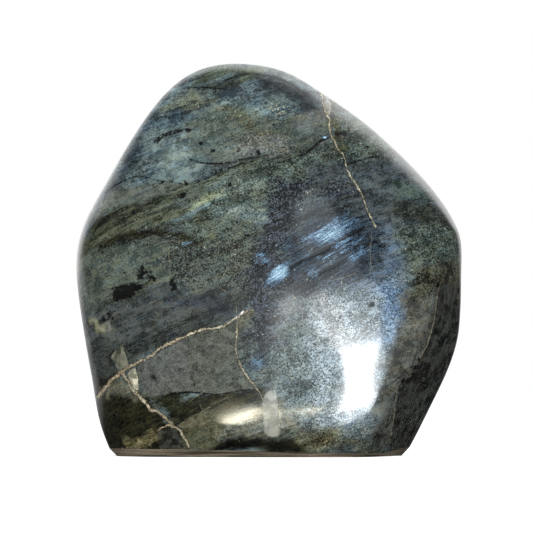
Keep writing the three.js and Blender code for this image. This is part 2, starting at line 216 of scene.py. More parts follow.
BLOCKS = {
    "b1": [(-37.3, 25.7), (-30.7, 29.3), (-23.2, 33.4), (-22.6, 26.5), (-21.9, 18.4), (-27.9, 17.7), (-33.9, 16.7), (-36.1, 20.0)],
    "b2": [(-23.2, 33.4), (-17.8, 35.5), (-9.4, 37.7), (-9.4, 30.4), (-8.6, 26.8), (-6.3, 23.1), (-2.9, 18.9), (-9.1, 18.4), (-15.3, 17.5), (-21.9, 18.2), (-22.6, 26.5)],
    "b3": [(-39.9, 22.9), (-38.9, 24.4), (-37.7, 24.9), (-36.9, 22.0), (-36.7, 18.9), (-37.6, 18.2), (-38.9, 20.3)],
    "b3b": [(-44.6, 27.8), (-43.1, 29.9), (-41.2, 31.3), (-40.3, 28.2), (-39.5, 25.3), (-40.8, 24.1), (-42.2, 24.0)],
    "b4": [(-2.0, 15.8), (-0.4, 18.4), (1.8, 18.8), (2.4, 14.7), (2.8, 10.2), (2.7, 5.7), (0.7, 5.4), (-1.3, 6.0), (-1.7, 11.6)],
    "b5": [(-9.3, 37.7), (-6.9, 40.4), (-4.3, 41.5), (-4.2, 40.0), (-6.0, 38.0), (-8.1, 35.7), (-8.8, 31.5), (-9.3, 30.4)],
    "b6": [(-49.2, 37.7), (-47.3, 36.9), (-44.8, 37.9), (-44.5, 35.7), (-45.0, 34.8), (-48.1, 35.2)],
    "b7": [(-31.3, 7.1), (-29.0, 7.8), (-26.2, 7.4), (-25.3, 5.7), (-24.0, 2.9), (-24.3, 1.9), (-30.7, 1.9), (-31.6, 4.6)],
    "facet": [(48.1, 48.4), (46.9, 43.9), (46.2, 38.3), (45.0, 34.1), (44.2, 31.3), (42.5, 27.9), (41.1, 25.6), (39.7, 22.8), (37.7, 20.3), (36.3, 18.6), (35.8, 15.8), (35.2, 13.0), (34.8, 10.2), (34.1, 5.2), (33.5, -1.0), (56.3, -1.0), (57.7, 31.3), (56.3, 48.4)],
    "shard": [(14.7, 101.7), (16.1, 100.9), (17.5, 99.2), (17.3, 97.2), (16.7, 95.0), (15.9, 96.6), (15.2, 98.9)],
    "b9": [(-26.2, 8.2), (-23.2, 10.5), (-18.5, 12.7), (-18.0, 11.9), (-18.0, 9.4), (-19.3, 8.1), (-22.3, 7.8)],
}
# areas of the face: (look, strength, softness, outline)
AREAS = [
    ("slate", 1.0, 2.0, [(-57.1, 60.7), (-49.8, 77.6), (-38.6, 95.0), (-26.2, 106.7), (-11.1, 111.8), (7.4, 109.6), (18.4, 100.6), (8.6, 95.5), (-8.3, 95.5), (-18.1, 88.8), (-18.1, 79.8), (-33.5, 77.0), (-44.8, 74.8), (-52.1, 62.1)]),
    ("stone", 1.0, 1.7, [(-23.4, 95.0), (-11.6, 98.3), (5.8, 95.5), (17.5, 95.5), (19.2, 89.9), (8.6, 85.4), (-5.5, 83.2), (-16.7, 80.9), (-22.9, 86.5)]),
    ("sage", 1.0, 1.7, [(-29.3, 65.8), (-20.1, 75.9), (-11.1, 79.5), (-2.1, 82.9), (8.6, 84.3), (17.0, 87.9), (22.6, 85.4), (21.2, 82.6), (11.9, 78.7), (6.3, 74.8), (1.8, 73.1), (0.1, 63.5), (-12.5, 59.0), (-22.3, 60.7)]),
    ("sage", 1.0, 2.0, [(17.0, 95.0), (22.6, 93.8), (36.6, 83.7), (35.5, 82.1), (23.2, 81.5), (20.3, 84.3)]),
    ("mauve", 1.0, 2.0, [(10.0, 81.2), (22.6, 83.2), (36.6, 83.2), (47.8, 75.9), (54.0, 64.9), (38.0, 64.7), (29.9, 63.0), (21.2, 70.3), (13.6, 68.6), (8.0, 74.8)]),
    ("sage", 0.9, 1.7, [(35.5, 65.8), (47.8, 66.3), (54.0, 61.3), (54.0, 52.9), (42.2, 51.7), (37.2, 47.3), (33.3, 54.6)]),
    ("slatehaze", 1.0, 3.5, [(23.2, 61.8), (34.4, 64.1), (37.2, 54.6), (37.2, 43.9), (28.8, 42.2), (21.2, 44.4)]),
    ("umber", 1.0, 1.7, [(-28.5, 60.7), (-15.3, 61.3), (-4.1, 62.7), (-2.1, 54.6), (-5.5, 46.1), (-8.8, 43.3), (-15.3, 47.8), (-27.4, 48.9)]),
    ("smoke", 0.9, 2.2, [(0.7, 77.6), (9.7, 75.3), (9.1, 65.8), (4.1, 57.9), (7.4, 43.9), (3.2, 37.7), (2.9, 26.5), (-1.5, 22.6), (-6.0, 31.0), (-4.3, 40.0), (-7.4, 46.1), (-5.8, 54.6), (-2.1, 63.0)]),
    ("night", 1.0, 2.5, [(4.1, 59.6), (10.8, 68.0), (22.6, 70.3), (31.0, 64.7), (32.1, 56.2), (24.8, 47.3), (15.6, 43.9), (5.8, 43.3)]),
    # the silver zone: silvery grain of the stone, its pale tone partly a painted glow round the window's highlight
    ("silver", 1.0, 4.5, [(5.2, 42.8), (17.5, 46.7), (36.1, 48.4), (37.2, 34.1), (32.7, 15.3), (27.6, 6.3), (8.6, 6.3), (0.7, 15.3), (1.8, 31.3)]),
    ("pewter", 0.9, 3.5, [(-2.1, 23.7), (2.9, 35.5), (8.6, 36.6), (13.0, 27.1), (11.4, 10.2), (4.1, 8.0), (0.1, 16.4)]),
    ("stone", 1.0, 1.7, [(-56.0, 54.6), (-44.8, 59.0), (-28.5, 59.6), (-26.8, 48.4), (-33.5, 43.9), (-47.6, 38.8), (-53.2, 41.1)]),
    ("slate2", 1.0, 1.7, [(-45.3, 43.9), (-30.7, 47.8), (-9.7, 47.3), (-7.2, 41.6), (-16.1, 36.3), (-30.7, 30.4), (-42.0, 23.7), (-50.9, 25.6), (-52.1, 38.3)]),
    ("deep", 0.9, 1.7, [(-51.5, 32.7), (-36.3, 33.2), (-22.3, 37.7), (-11.1, 41.6), (-9.4, 38.8), (-18.1, 35.5), (-30.7, 30.1), (-42.0, 23.7), (-49.8, 18.1)]),
    ("ash", 1.0, 1.4, [(36.1, 46.1), (49.5, 48.4), (47.3, 39.4), (45.0, 31.3), (40.5, 24.8), (36.1, 19.2), (34.9, 11.6), (33.8, 2.4), (28.8, 2.4), (30.2, 15.3), (34.4, 29.3)]),
    ("umberdark", 1.0, 1.4, [(39.4, 52.3), (56.3, 55.7), (56.3, 45.0), (47.8, 46.7), (41.1, 45.0)]),
    ("ink", 1.0, 1.1, [(-52.1, 20.3), (-46.4, 21.4), (-39.7, 19.2), (-34.7, 15.8), (-25.7, 7.4), (-23.4, 0.1), (-48.7, 0.1)]),
    ("coal", 1.0, 1.1, [(-33.5, 16.9), (-22.3, 18.1), (-2.1, 18.4), (-1.5, 15.3), (-8.3, 12.5), (-18.1, 8.2), (-22.3, 5.2), (-29.0, 11.9)]),
    ("moss2", 1.0, 1.1, [(-24.6, 7.4), (-18.1, 12.5), (-12.2, 11.9), (-12.2, 2.4), (-23.4, 2.4)]),
    ("satin", 1.0, 1.1, [(-13.3, 8.5), (-8.3, 10.8), (-2.1, 14.7), (4.1, 13.6), (6.9, 9.1), (6.3, 5.4), (-12.8, 5.2)]),
    ("moss", 0.9, 1.8, [(5.8, 7.4), (17.0, 6.6), (28.8, 8.0), (29.9, 2.4), (5.8, 2.4)]),
    # painted reflection: a black area just above the base, where the face rolls under and mirrors the dark room
    ("ink", 0.9, 0.8, [(-12.8, 4.6), (-2.1, 5.7), (11.4, 4.3), (11.9, 1.2), (-12.8, 1.2)]),
]
# bands: (look, strength, softness, [(right, up, half-width)])
BANDS = [
    ("olive", 1.0, 1.1, [(-57.1, 54.6, 2.2), (-49.8, 61.8, 2.8), (-41.4, 67.2, 2.8), (-33.5, 71.1, 2.5), (-26.2, 73.9, 2.0), (-20.1, 75.9, 1.4)]),
    ("olive2", 0.9, 1.1, [(-49.8, 59.0, 1.1), (-41.4, 64.1, 1.7), (-32.1, 68.0, 2.2), (-23.7, 68.6, 2.0), (-18.1, 64.7, 1.4), (-13.9, 61.3, 1.1)]),
    ("brown", 1.0, 0.8, [(-22.3, 75.0, 0.8), (-16.1, 78.1, 1.1), (-9.4, 80.9, 1.1), (-2.1, 83.2, 1.0), (5.8, 84.6, 0.8), (11.9, 86.3, 0.6)]),
    ("ink2", 0.9, 0.7, [(-49.8, 57.9, 0.6), (-45.9, 59.3, 0.8), (-42.0, 60.7, 1.1), (-37.5, 62.4, 1.1), (-32.1, 63.0, 1.1), (-27.4, 61.6, 1.1), (-22.9, 60.2, 0.8), (-19.5, 59.0, 0.6)]),
    ("brown", 0.9, 0.8, [(-28.5, 74.8, 0.8), (-24.6, 74.8, 1.4), (-20.6, 75.9, 0.8)]),
    ("deepslate", 0.95, 1.1, [(-31.8, 96.1, 1.1), (-36.9, 88.2, 1.3), (-42.0, 79.8, 1.3), (-47.6, 70.8, 1.1), (-51.5, 63.0, 0.8)]),
    ("bluedark", 0.95, 1.1, [(-33.5, 92.2, 1.1), (-28.5, 95.0, 2.0), (-22.3, 96.4, 1.7), (-19.5, 96.6, 0.8)]),
    ("lightslate", 0.7, 3.5, [(-30.7, 86.0, 3.4), (-25.1, 83.7, 4.2), (-20.6, 82.1, 2.8)]),
    ("lens", 0.95, 0.8, [(-46.4, 68.6, 0.6), (-43.1, 73.1, 1.7), (-38.6, 74.2, 2.5), (-33.5, 74.2, 2.2), (-28.5, 74.8, 0.8)]),
    ("gold", 0.6, 1.1, [(-29.0, 97.2, 1.1), (-23.4, 99.4, 1.7), (-16.7, 100.6, 1.4), (-13.3, 101.1, 0.8)]),
    ("gold", 0.65, 1.1, [(-14.5, 98.0, 0.6), (-9.4, 95.5, 1.1), (-4.9, 92.7, 1.4), (-1.0, 89.9, 1.4)]),
    ("arcolive", 0.8, 0.8, [(-22.3, 102.3, 0.6), (-17.8, 102.8, 0.8), (-12.2, 104.5, 1.0), (-6.6, 106.7, 0.8), (-1.5, 106.9, 0.7), (4.1, 105.6, 0.6)]),
    ("topgrey", 0.8, 1.1, [(-20.6, 104.5, 0.8), (-15.6, 106.7, 1.4), (-9.4, 108.1, 1.4), (-3.8, 108.7, 1.1)]),
    ("bluedark2", 0.9, 1.4, [(-2.1, 104.5, 1.1), (4.1, 102.8, 2.2), (10.0, 99.4, 2.2), (13.6, 95.5, 1.1)]),
    ("aqua", 0.35, 1.4, [(-11.6, 98.9, 1.1), (-6.0, 98.3, 1.7), (-1.0, 97.8, 1.4)]),
    ("beige", 0.6, 1.7, [(-9.4, 86.0, 1.7), (-2.1, 87.7, 2.8), (4.1, 87.1, 2.2)]),
    ("lime", 0.7, 1.0, [(-23.4, 69.4, 0.3), (-20.1, 71.4, 0.7), (-17.3, 72.5, 1.0), (-13.9, 73.9, 0.7), (-10.0, 75.3, 0.4)]),
    ("aqua", 0.9, 0.7, [(-27.4, 66.6, 0.4), (-23.4, 67.5, 1.0), (-19.5, 68.9, 0.8), (-16.1, 70.5, 0.4)]),
    ("aqua2", 0.75, 1.4, [(-13.3, 68.6, 0.8), (-7.2, 68.6, 2.0), (-2.1, 68.0, 2.0), (1.3, 67.5, 1.1)]),
    ("greenlight", 0.6, 1.4, [(-12.2, 74.2, 1.1), (-6.6, 75.9, 1.7), (-2.1, 77.6, 1.4)]),
    ("brown", 0.7, 1.1, [(-14.5, 61.8, 0.8), (-9.4, 64.1, 1.1), (-3.8, 65.8, 0.8)]),
    ("lilac", 0.75, 1.4, [(9.1, 71.9, 1.1), (14.7, 74.2, 2.2), (20.3, 75.9, 2.5), (23.2, 73.1, 1.4)]),
    ("oliveline", 0.9, 0.6, [(-2.1, 61.8, 0.4), (4.6, 65.2, 0.6), (10.2, 68.0, 0.7), (17.0, 70.3, 0.6), (22.6, 72.5, 0.4)]),
    ("teal", 0.9, 1.1, [(36.1, 76.4, 1.4), (39.4, 74.8, 2.5), (42.8, 71.9, 1.4)]),
    ("darkolive", 0.9, 1.1, [(36.1, 69.7, 1.4), (41.7, 68.9, 1.7), (47.8, 66.3, 1.4), (51.2, 63.0, 0.8)]),
    ("goldstain", 0.75, 1.1, [(17.5, 94.7, 0.6), (18.7, 91.6, 1.1), (20.1, 88.2, 1.1), (20.9, 86.0, 0.6)]),
    ("stonelight", 0.6, 1.1, [(8.6, 93.8, 1.7), (14.7, 95.0, 1.7)]),
    ("slatelight2", 0.7, 1.1, [(-27.9, 43.9, 1.1), (-20.6, 43.3, 2.0), (-15.0, 42.5, 2.2), (-11.6, 40.5, 1.4)]),
    # painted sheen: a pale blue glow beside the window's reflection
    ("blue_sheen", 0.7, 2.4, [(32.1, 46.1, 2.0), (34.9, 41.1, 2.5), (33.8, 35.5, 2.2), (31.0, 31.3, 1.7)]),
    # painted highlight: a warm pale glow above the window's reflection
    ("warm_glow", 0.4, 3.0, [(13.6, 43.9, 2.2), (18.7, 39.4, 2.8), (23.2, 35.5, 2.2)]),
    ("greyquad", 0.7, 0.8, [(-45.3, 18.1, 1.7), (-40.8, 18.6, 2.0), (-38.6, 16.4, 1.1)]),
    ("yellowmoss", 0.4, 0.9, [(-39.7, 3.5, 0.6), (-36.3, 4.3, 1.4), (-33.0, 5.2, 1.4), (-31.3, 6.3, 0.8)]),
    ("cream", 0.18, 0.9, [(-48.7, 37.7, 0.8), (-46.4, 36.6, 1.4), (-44.8, 36.6, 0.8)]),
    ("oliveband", 0.7, 0.7, [(35.5, 34.9, 0.6), (39.4, 36.3, 0.7), (44.5, 38.8, 0.7), (47.3, 40.5, 0.6)]),
    ("oliveband", 0.6, 0.7, [(36.1, 38.8, 0.4), (40.5, 40.5, 0.6), (46.7, 43.9, 0.7)]),
    ("facetlight", 0.8, 1.1, [(40.0, 23.7, 0.8), (43.4, 24.8, 1.7), (47.8, 25.4, 1.4)]),
    ("brownmoss", 0.8, 1.0, [(7.4, 3.5, 0.8), (14.2, 4.6, 1.1), (21.5, 3.5, 1.1), (27.1, 4.6, 0.8)]),
    ("darkspeck", 0.7, 0.8, [(-44.2, 43.9, 1.1), (-40.8, 44.4, 1.7), (-36.3, 47.3, 1.4), (-33.0, 49.5, 1.1)]),
    ("pewter", 0.9, 1.6, [(19.5, 6.8, 1.4), (25.0, 5.8, 2.0), (29.5, 4.6, 1.6)]),
    ("pewterdark", 0.85, 3.0, [(3.0, 45.5, 1.5), (7.5, 42.5, 2.8), (6.0, 36.0, 2.8), (2.5, 35.0, 1.5)]),
    ("pewterdark", 0.6, 1.8, [(31.5, 33.5, 0.8), (31.8, 29.5, 1.0), (31.0, 25.5, 0.8)]),
    # painted highlight: pale bands that spread the glow round the window's reflection
    ("silver_glow", 0.6, 2.6, [(18.5, 41.0, 1.6), (24.5, 38.0, 2.2)]),
    ("silver_glow", 0.5, 1.8, [(22.0, 6.6, 1.2), (27.0, 5.6, 1.4)]),
    ("smoke", 0.7, 1.8, [(-4.6, 39.0, 1.2), (-4.4, 33.0, 1.4)]),
    # painted reflection: the top edge of the black band above the base
    ("ink", 0.55, 1.4, [(-2.0, 6.2, 0.8), (4.0, 6.6, 0.8), (11.0, 6.0, 1.0)]),
    ("silver_glow", 0.5, 3.0, [(9.0, 24.5, 2.0), (15.0, 22.5, 3.0), (19.0, 12.0, 3.0)]),
    ("deepslate", 0.5, 1.2, [(-29.5, 92.6, 0.8), (-24.5, 91.8, 0.9)]),
    ("lightslate", 0.4, 3.0, [(-18.5, 90.0, 2.5), (-13.0, 86.0, 3.0)]),
    ("bluedark2", 0.5, 1.6, [(-4.5, 102.4, 0.8), (0.5, 101.6, 1.2)]),
    ("mauve", 0.5, 2.4, [(11.0, 90.5, 2.0), (18.5, 87.5, 2.2)]),
    ("deep", 0.45, 2.4, [(-50.5, 51.0, 1.6), (-47.0, 45.0, 2.0)]),
    ("night", 0.6, 2.0, [(8.5, 68.5, 1.4), (16.5, 70.0, 1.6)]),
    # painted reflection: the black band just above the base, where the face rolls under
    ("dark_reflection", 1.0, 0.8, [(-14.6, 2.8, 0.6), (-10.0, 3.3, 1.2), (-3.0, 3.5, 1.4), (4.0, 3.1, 1.3), (10.0, 2.6, 0.8)]),
]
# flashes, a blue sheen painted into the colour: (right, up, half-length, half-width, degrees, strength)
FLASHES = [
    (14.6, 62.2, 5.7, 2.3, 22, 0.64),
    (18.6, 63.8, 6.5, 2.7, 22, 0.60),
    (21.5, 60.7, 3.8, 1.6, 28, 0.45),
    (25.2, 61.0, 3.2, 1.5, 28, 0.42),
    (17.0, 57.1, 3.0, 1.4, 28, 0.58),
    (24.6, 56.2, 3.0, 1.9, 35, 0.55),
    (22.6, 59.0, 2.3, 1.2, 30, 0.31),
    (-1.3, 56.0, 1.4, 3.2, 70, 0.47),
    (2.7, 51.5, 4.2, 2.0, 32, 0.78),
    (0.4, 49.2, 2.3, 1.6, 35, 0.55),
    (11.6, 51.2, 1.5, 1.6, 30, 0.47),
    (-23.7, 58.5, 2.3, 1.2, 20, 0.39),
    (-3.8, 26.5, 2.3, 2.9, 60, 0.43),
    (35.2, 41.6, 3.4, 6.5, 70, 0.27),
    (37.2, 46.1, 2.3, 2.9, 40, 0.23),
    (28.8, 56.5, 3.4, 1.6, 35, 0.27),
    (8.6, 54.6, 3.8, 1.6, 32, 0.27),
    (5.8, 58.8, 2.3, 3.2, 60, 0.23),
    (15.6, 54.6, 6.1, 1.2, 28, 0.23),
    (31.0, 32.7, 2.3, 4.9, 80, 0.23),
    (4.1, 20.9, 3.4, 3.6, 0, 0.20),
    (17.0, 7.4, 3.8, 2.0, 30, 0.23),
    (21.2, 8.8, 4.6, 2.0, 35, 0.31),
]

# lines that are also worn into the surface
RELIEF = {"long_seam", "top_seam", "branch_seam", "spur", "block_edge", "hair1", "hair2", "hair4", "d1", "d2", "d8", "d5", "edge_right"}
GAIN = 0.8  # albedo for a tone as it is seen in this light


def resample(points, step=1.1):
    """A smooth line through chart points, with its half-width and tone."""
    p = np.array(points, float)
    e = np.vstack([2 * p[0] - p[1], p, 2 * p[-1] - p[-2]])
    out = []
    for i in range(len(p) - 1):
        a, b, c, d = e[i], e[i + 1], e[i + 2], e[i + 3]
        n = max(1, int(np.hypot(*(c - b)[:2]) / step))
        for k in range(n):
            t = k / n
            out.append(0.5 * (2 * b + (c - a) * t + (2 * a - 5 * b + 4 * c - d) * t * t + (3 * b - a - 3 * c + d) * t**3))
    out.append(p[-1])
    return np.array(out)


def along(line, c):
    """Signed distance of chart points to a line, and the line's half-width and tone there."""
    n = len(c)
    side, width, tone = np.full(n, 9.0), np.full(n, -0.5), np.zeros(n)
    low, high = line[:, :2].min(0) - 6, line[:, :2].max(0) + 6
    close = np.nonzero(((c > low) & (c < high)).all(1))[0]
    c = c[close]
    best = np.full(len(c), 1e9)
    s, w, k = np.zeros(len(c)), np.zeros(len(c)), np.zeros(len(c))
    for i, (a, b) in enumerate(zip(line[:-1], line[1:])):
        ab = b[:2] - a[:2]
        ac = c - a[:2]
        raw = ac @ ab / (ab @ ab + 1e-12)
        t = np.clip(raw, 0, 1)
        near = ac - t[:, None] * ab
        d = np.hypot(near[:, 0], near[:, 1])
        past = np.zeros(len(c))
        if i == 0:
            past = np.maximum(past, -raw)
        if i == len(line) - 2:
            past = np.maximum(past, raw - 1)
        m = d < best
        best = np.where(m, d, best)
        s = np.where(m, np.where(ab[0] * ac[:, 1] - ab[1] * ac[:, 0] < 0, -d, d), s)
        w = np.where(m, a[2] + (b[2] - a[2]) * t - past * np.hypot(*ab), w)
        k = np.where(m, a[3] + (b[3] - a[3]) * t, k)
    # away from the line its width fades to nothing, so nothing is drawn where two lines are equally near
    side[close], width[close], tone[close] = s, w - 1.2 * smooth(best, 1.2, 2.4), k
    return side, width, tone


def group(lines, c):
    """The nearest of several lines: signed distance, half-width, tone."""
    out = None
    for pts in lines.values():
        v = np.stack(along(resample(pts), c), 1)
        if out is None:
            out = v
        else:
            m = np.abs(v[:, 0]) < np.abs(out[:, 0])
            out[m] = v[m]
    return out


def polygon(points, c, round_to=0.0):
    """Signed distance of chart points to a closed polygon, negative inside."""
    p = np.array(points, float)
    d = np.full(len(c), 1e9)
    inside = np.zeros(len(c), bool)
    for a, b in zip(p, np.roll(p, -1, 0)):
        ab, ac = b - a, c - a
        t = np.clip(ac @ ab / (ab @ ab), 0, 1)
        d = np.minimum(d, np.hypot(*(ac - t[:, None] * ab).T))
        cross = (a[1] > c[:, 1]) != (b[1] > c[:, 1])
        with np.errstate(divide="ignore", invalid="ignore"):
            inside ^= cross & (c[:, 0] < (b[0] - a[0]) * (c[:, 1] - a[1]) / (b[1] - a[1]) + a[0])
    return np.where(inside, -d, d) - round_to


# ---------------------------------------------------------------- the fine mesh
def icosphere(f):
    g = (1 + 5**0.5) / 2
    v = np.array([(-1, g, 0), (1, g, 0), (-1, -g, 0), (1, -g, 0), (0, -1, g), (0, 1, g), (0, -1, -g), (0, 1, -g), (g, 0, -1), (g, 0, 1), (-g, 0, -1), (-g, 0, 1)], float)
    v = unit(v)
    faces = [(0, 11, 5), (0, 5, 1), (0, 1, 7), (0, 7, 10), (0, 10, 11), (1, 5, 9), (5, 11, 4), (11, 10, 2), (10, 7, 6), (7, 1, 8), (3, 9, 4), (3, 4, 2), (3, 2, 6), (3, 6, 8), (3, 8, 9), (4, 9, 5), (2, 4, 11), (6, 2, 10), (8, 6, 7), (9, 8, 1)]
    ij = np.array([(i, j) for i in range(f + 1) for j in range(f + 1 - i)])
    index = {tuple(p): k for k, p in enumerate(ij)}
    small = []
    for i in range(f):
        for j in range(f - i):
            small.append((index[i, j], index[i + 1, j], index[i, j + 1]))
            if j < f - i - 1:
                small.append((index[i + 1, j], index[i + 1, j + 1], index[i, j + 1]))
    small = np.array(small)
    w = np.stack([f - ij.sum(1), ij[:, 0], ij[:, 1]], 1) / f
    pts = np.concatenate([w @ v[list(t)] for t in faces])
    tris = np.concatenate([small + k * len(ij) for k in range(len(faces))])
    pts = unit(pts)
    key = np.round(pts * 1e6).astype(np.int64)
    _, first, back = np.unique(key, axis=0, return_index=True, return_inverse=True)
    return pts[first], back.reshape(-1)[tris]


def edge_table(tris):
    e = np.sort(np.concatenate([tris[:, [0, 1]], tris[:, [1, 2]], tris[:, [2, 0]]]), axis=1)
    u, back = np.unique(e, axis=0, return_inverse=True)
    return u, back.reshape(3, -1).T  # edges, and per triangle its edges 01, 12, 20


def refine(dirs, tris, mark):
    """Splits every edge between marked points, and makes good the triangles beside them."""
    edges, of = edge_table(tris)
    split = mark[edges[:, 0]] & mark[edges[:, 1]]
    mid = np.full(len(edges), -1)
    mid[split] = len(dirs) + np.arange(split.sum())
    dirs = np.vstack([dirs, unit(dirs[edges[split, 0]] + dirs[edges[split, 1]])])
    m = mid[of]
    count = (m >= 0).sum(1)
    out = [tris[count == 0]]
    t, q = tris[count == 3], m[count == 3]
    out += [np.stack([t[:, 0], q[:, 0], q[:, 2]], 1), np.stack([t[:, 1], q[:, 1], q[:, 0]], 1), np.stack([t[:, 2], q[:, 2], q[:, 1]], 1), q]
    for k in range(3):
        s = (count == 1) & (m[:, k] >= 0)
        a, b, c, x = tris[s, k], tris[s, (k + 1) % 3], tris[s, (k + 2) % 3], m[s, k]
        out += [np.stack([a, x, c], 1), np.stack([x, b, c], 1)]
    return dirs, np.concatenate(out)


def cut(points, tris, g):
    """Splits the mesh along g = 0. Returns points, triangles, g and which points lie on the line."""
    g = np.where(np.abs(g) < 1e-5, 1e-5, g)
    edges, of = edge_table(tris)
    ga, gb = g[edges[:, 0]], g[edges[:, 1]]
    crossed = (ga > 0) != (gb > 0)
    w = (ga / np.where(crossed, ga - gb, 1))[crossed][:, None]
    mid = np.full(len(edges), -1)
    mid[crossed] = len(points) + np.arange(crossed.sum())
    new = points[edges[crossed, 0]] * (1 - w) + points[edges[crossed, 1]] * w
    m = mid[of]
    whole = (m < 0).all(1)
    out = [tris[whole]]
    for k in range(3):  # corner k stands alone on its side of the line
        s = (m[:, k] >= 0) & (m[:, (k + 2) % 3] >= 0) & (m[:, (k + 1) % 3] < 0)
        a, b, c = tris[s, k], tris[s, (k + 1) % 3], tris[s, (k + 2) % 3]
        ab, ca = m[s, k], m[s, (k + 2) % 3]
        out += [np.stack([a, ab, ca], 1), np.stack([ab, b, ca], 1), np.stack([b, c, ca], 1)]
    on = np.zeros(len(points) + len(new), bool)
    on[len(points):] = True
    return np.vstack([points, new]), np.concatenate(out), np.concatenate([g, np.zeros(len(new))]), on


rng = np.random.default_rng(7)
WAVES = [(rng.normal(size=3), rng.uniform(0, 6.28), a) for a in np.geomspace(1, 0.35, 22)]


def polish_waves(p):
    """The faint unevenness that a hand-held polish leaves, a few hundredths of a millimetre."""
    h = np.zeros(len(p))
    for i, (k, ph, a) in enumerate(WAVES):
        k = k / np.linalg.norm(k) * (0.16 + 0.024 * i)
        h += a * np.sin(p @ k + ph)
    return 0.004 * h


def wobble(p, size, seed, n=14):
    """A smooth random field of about unit height with features of this size in mm."""
    r = np.random.default_rng(seed)
    out = np.zeros(len(p))
    for _ in range(n):
        k = r.normal(size=p.shape[1])
        k = k / np.linalg.norm(k) * 6.283 / size * r.uniform(0.6, 1.5)
        out += np.sin(p @ k + r.uniform(0, 6.283))
    return out * (2 / n) ** 0.5


def at_skin(dirs):
    t = reach(dirs)
    p = dirs * t[:, None]
    p[:, 2] += CZ
    return p


dirs, tris = icosphere(80)
dirs = unit(dirs * SPREAD)
pts = at_skin(dirs)
every_line = [resample(l) for g in (*SEAMS.values(), *CRACKS.values()) for n, l in g.items() if n in RELIEF]


def near_relief(p):
    c = chart(p)
    d = np.full(len(p), 99.0)
    front = p[:, 1] < 4
    for l in every_line:
        d[front] = np.minimum(d[front], np.abs(along(l, c[front])[0]))
    for x, z, r in SPOTS:
        d[front] = np.minimum(d[front], np.hypot(c[front, 0] - x, c[front, 1] - z) - r)
    return d


for radius in (1.6, 0.8):
    mark = near_relief(pts) < radius
    dirs, tris = refine(dirs, tris, mark)
    pts = at_skin(dirs)

# The bevel round the base: a cone that meets the skin at the bevel's height, with sides at 45 degrees.
AROUND = np.radians(np.arange(0, 360, 0.5))


def bevel_size(x, y):
    s = smooth(x, -34, 40)
    f = BEVEL_LEFT + (BEVEL_RIGHT - BEVEL_LEFT) * s
    f = f + (BEVEL_BACK - f) * smooth(y, -4, 10)
    return f + (BEVEL_CORNER - f) * smooth(x, 31, 38)


low, high = np.zeros(len(AROUND)), np.full(len(AROUND), 70.0)
for _ in range(30):
    r = (low + high) / 2
    x, y = r * np.cos(AROUND), r * np.sin(AROUND)
    q = np.stack([x, y, bevel_size(x, y) - CZ], 1)
    far = np.linalg.norm(q, axis=1)
    inside = far < reach(q / far[:, None])
    low, high = np.where(inside, r, low), np.where(inside, high, r)
ring_r = (low + high) / 2
ring_h = bevel_size(ring_r * np.cos(AROUND), ring_r * np.sin(AROUND))


def dish(u):
    a = np.mod(np.arctan2(u[:, 1], u[:, 0]), 2 * math.pi)
    wrap = np.append(AROUND, 2 * math.pi)
    r, h = np.interp(a, wrap, np.append(ring_r, ring_r[0])), np.interp(a, wrap, np.append(ring_h, ring_h[0]))
    den = np.hypot(u[:, 0], u[:, 1]) - u[:, 2]
    return np.where(den > 1e-3, (r - h + CZ) / np.maximum(den, 1e-3), 1e3)


skin_t = np.linalg.norm(pts - [0, 0, CZ], axis=1)
dirs, tris, g, crease = cut(dirs, tris, skin_t - dish(dirs))
dirs = unit(dirs)
pts = at_skin(dirs)
flat_t = dish(dirs)
bevel = (g > 0) & ~crease
pts[bevel] = dirs[bevel] * flat_t[bevel][:, None] + [0, 0, CZ]
both = np.stack([pts[:, 0], pts[:, 1], pts[:, 2], crease, bevel], 1)
both, tris, g, on_base = cut(both, tris, both[:, 2])
keep = (g[tris] >= 0).all(1)
tris = tris[keep]
pts, crease, bevel = both[:, :3], both[:, 3] > 0.999, both[:, 4] > 0.0
pts[on_base, 2] = 0

# The sawn base: rings that close in on the middle of the footprint.
loop = np.nonzero(on_base)[0]
middle = pts[loop].mean(0)
loop = loop[np.argsort(np.arctan2(pts[loop, 1] - middle[1], pts[loop, 0] - middle[0]))]
rings, last, faces = [], loop, []
base = len(pts)
for k, s in enumerate((0.985, 0.9, 0.75, 0.5, 0.25)):
    ring = middle + (pts[loop] - middle) * s
    now = base + np.arange(len(loop))
    base += len(loop)
    rings.append(ring)
    nxt = np.roll(np.arange(len(loop)), -1)
    faces += [np.stack([last, now, last[nxt]], 1), np.stack([last[nxt], now, now[nxt]], 1)]
    last = now
faces.append(np.stack([last, np.full(len(loop), base), np.roll(last, -1)], 1))
first_cap = len(pts)
pts = np.vstack([pts] + rings + [middle[None]])
cap_from = len(tris)
tris = np.concatenate([tris] + faces)
crease = np.concatenate([crease, np.zeros(len(pts) - len(crease), bool)])
bevel = np.concatenate([bevel, np.zeros(len(pts) - len(bevel), bool)])
rim = np.zeros(len(pts), bool)
rim[loop] = True
cap = np.zeros(len(pts), bool)
cap[first_cap:] = True

# only the points in use
used = np.unique(tris)
remap = np.full(len(pts), -1)
remap[used] = np.arange(len(used))
tris, pts, crease, bevel, rim, cap = remap[tris], pts[used], crease[used], bevel[used], rim[used], cap[used]

# outward faces
n = np.cross(pts[tris[:, 1]] - pts[tris[:, 0]], pts[tris[:, 2]] - pts[tris[:, 0]])
inward = (n * (pts[tris].mean(1) - [0, 0, 30])).sum(1) < 0
tris[inward] = tris[inward][:, ::-1]


def normals(p, t):
    n = np.cross(p[t[:, 1]] - p[t[:, 0]], p[t[:, 2]] - p[t[:, 0]])
    out = np.zeros_like(p)
    for k in range(3):
        np.add.at(out, t[:, k], n)
    return unit(out + 1e-12)


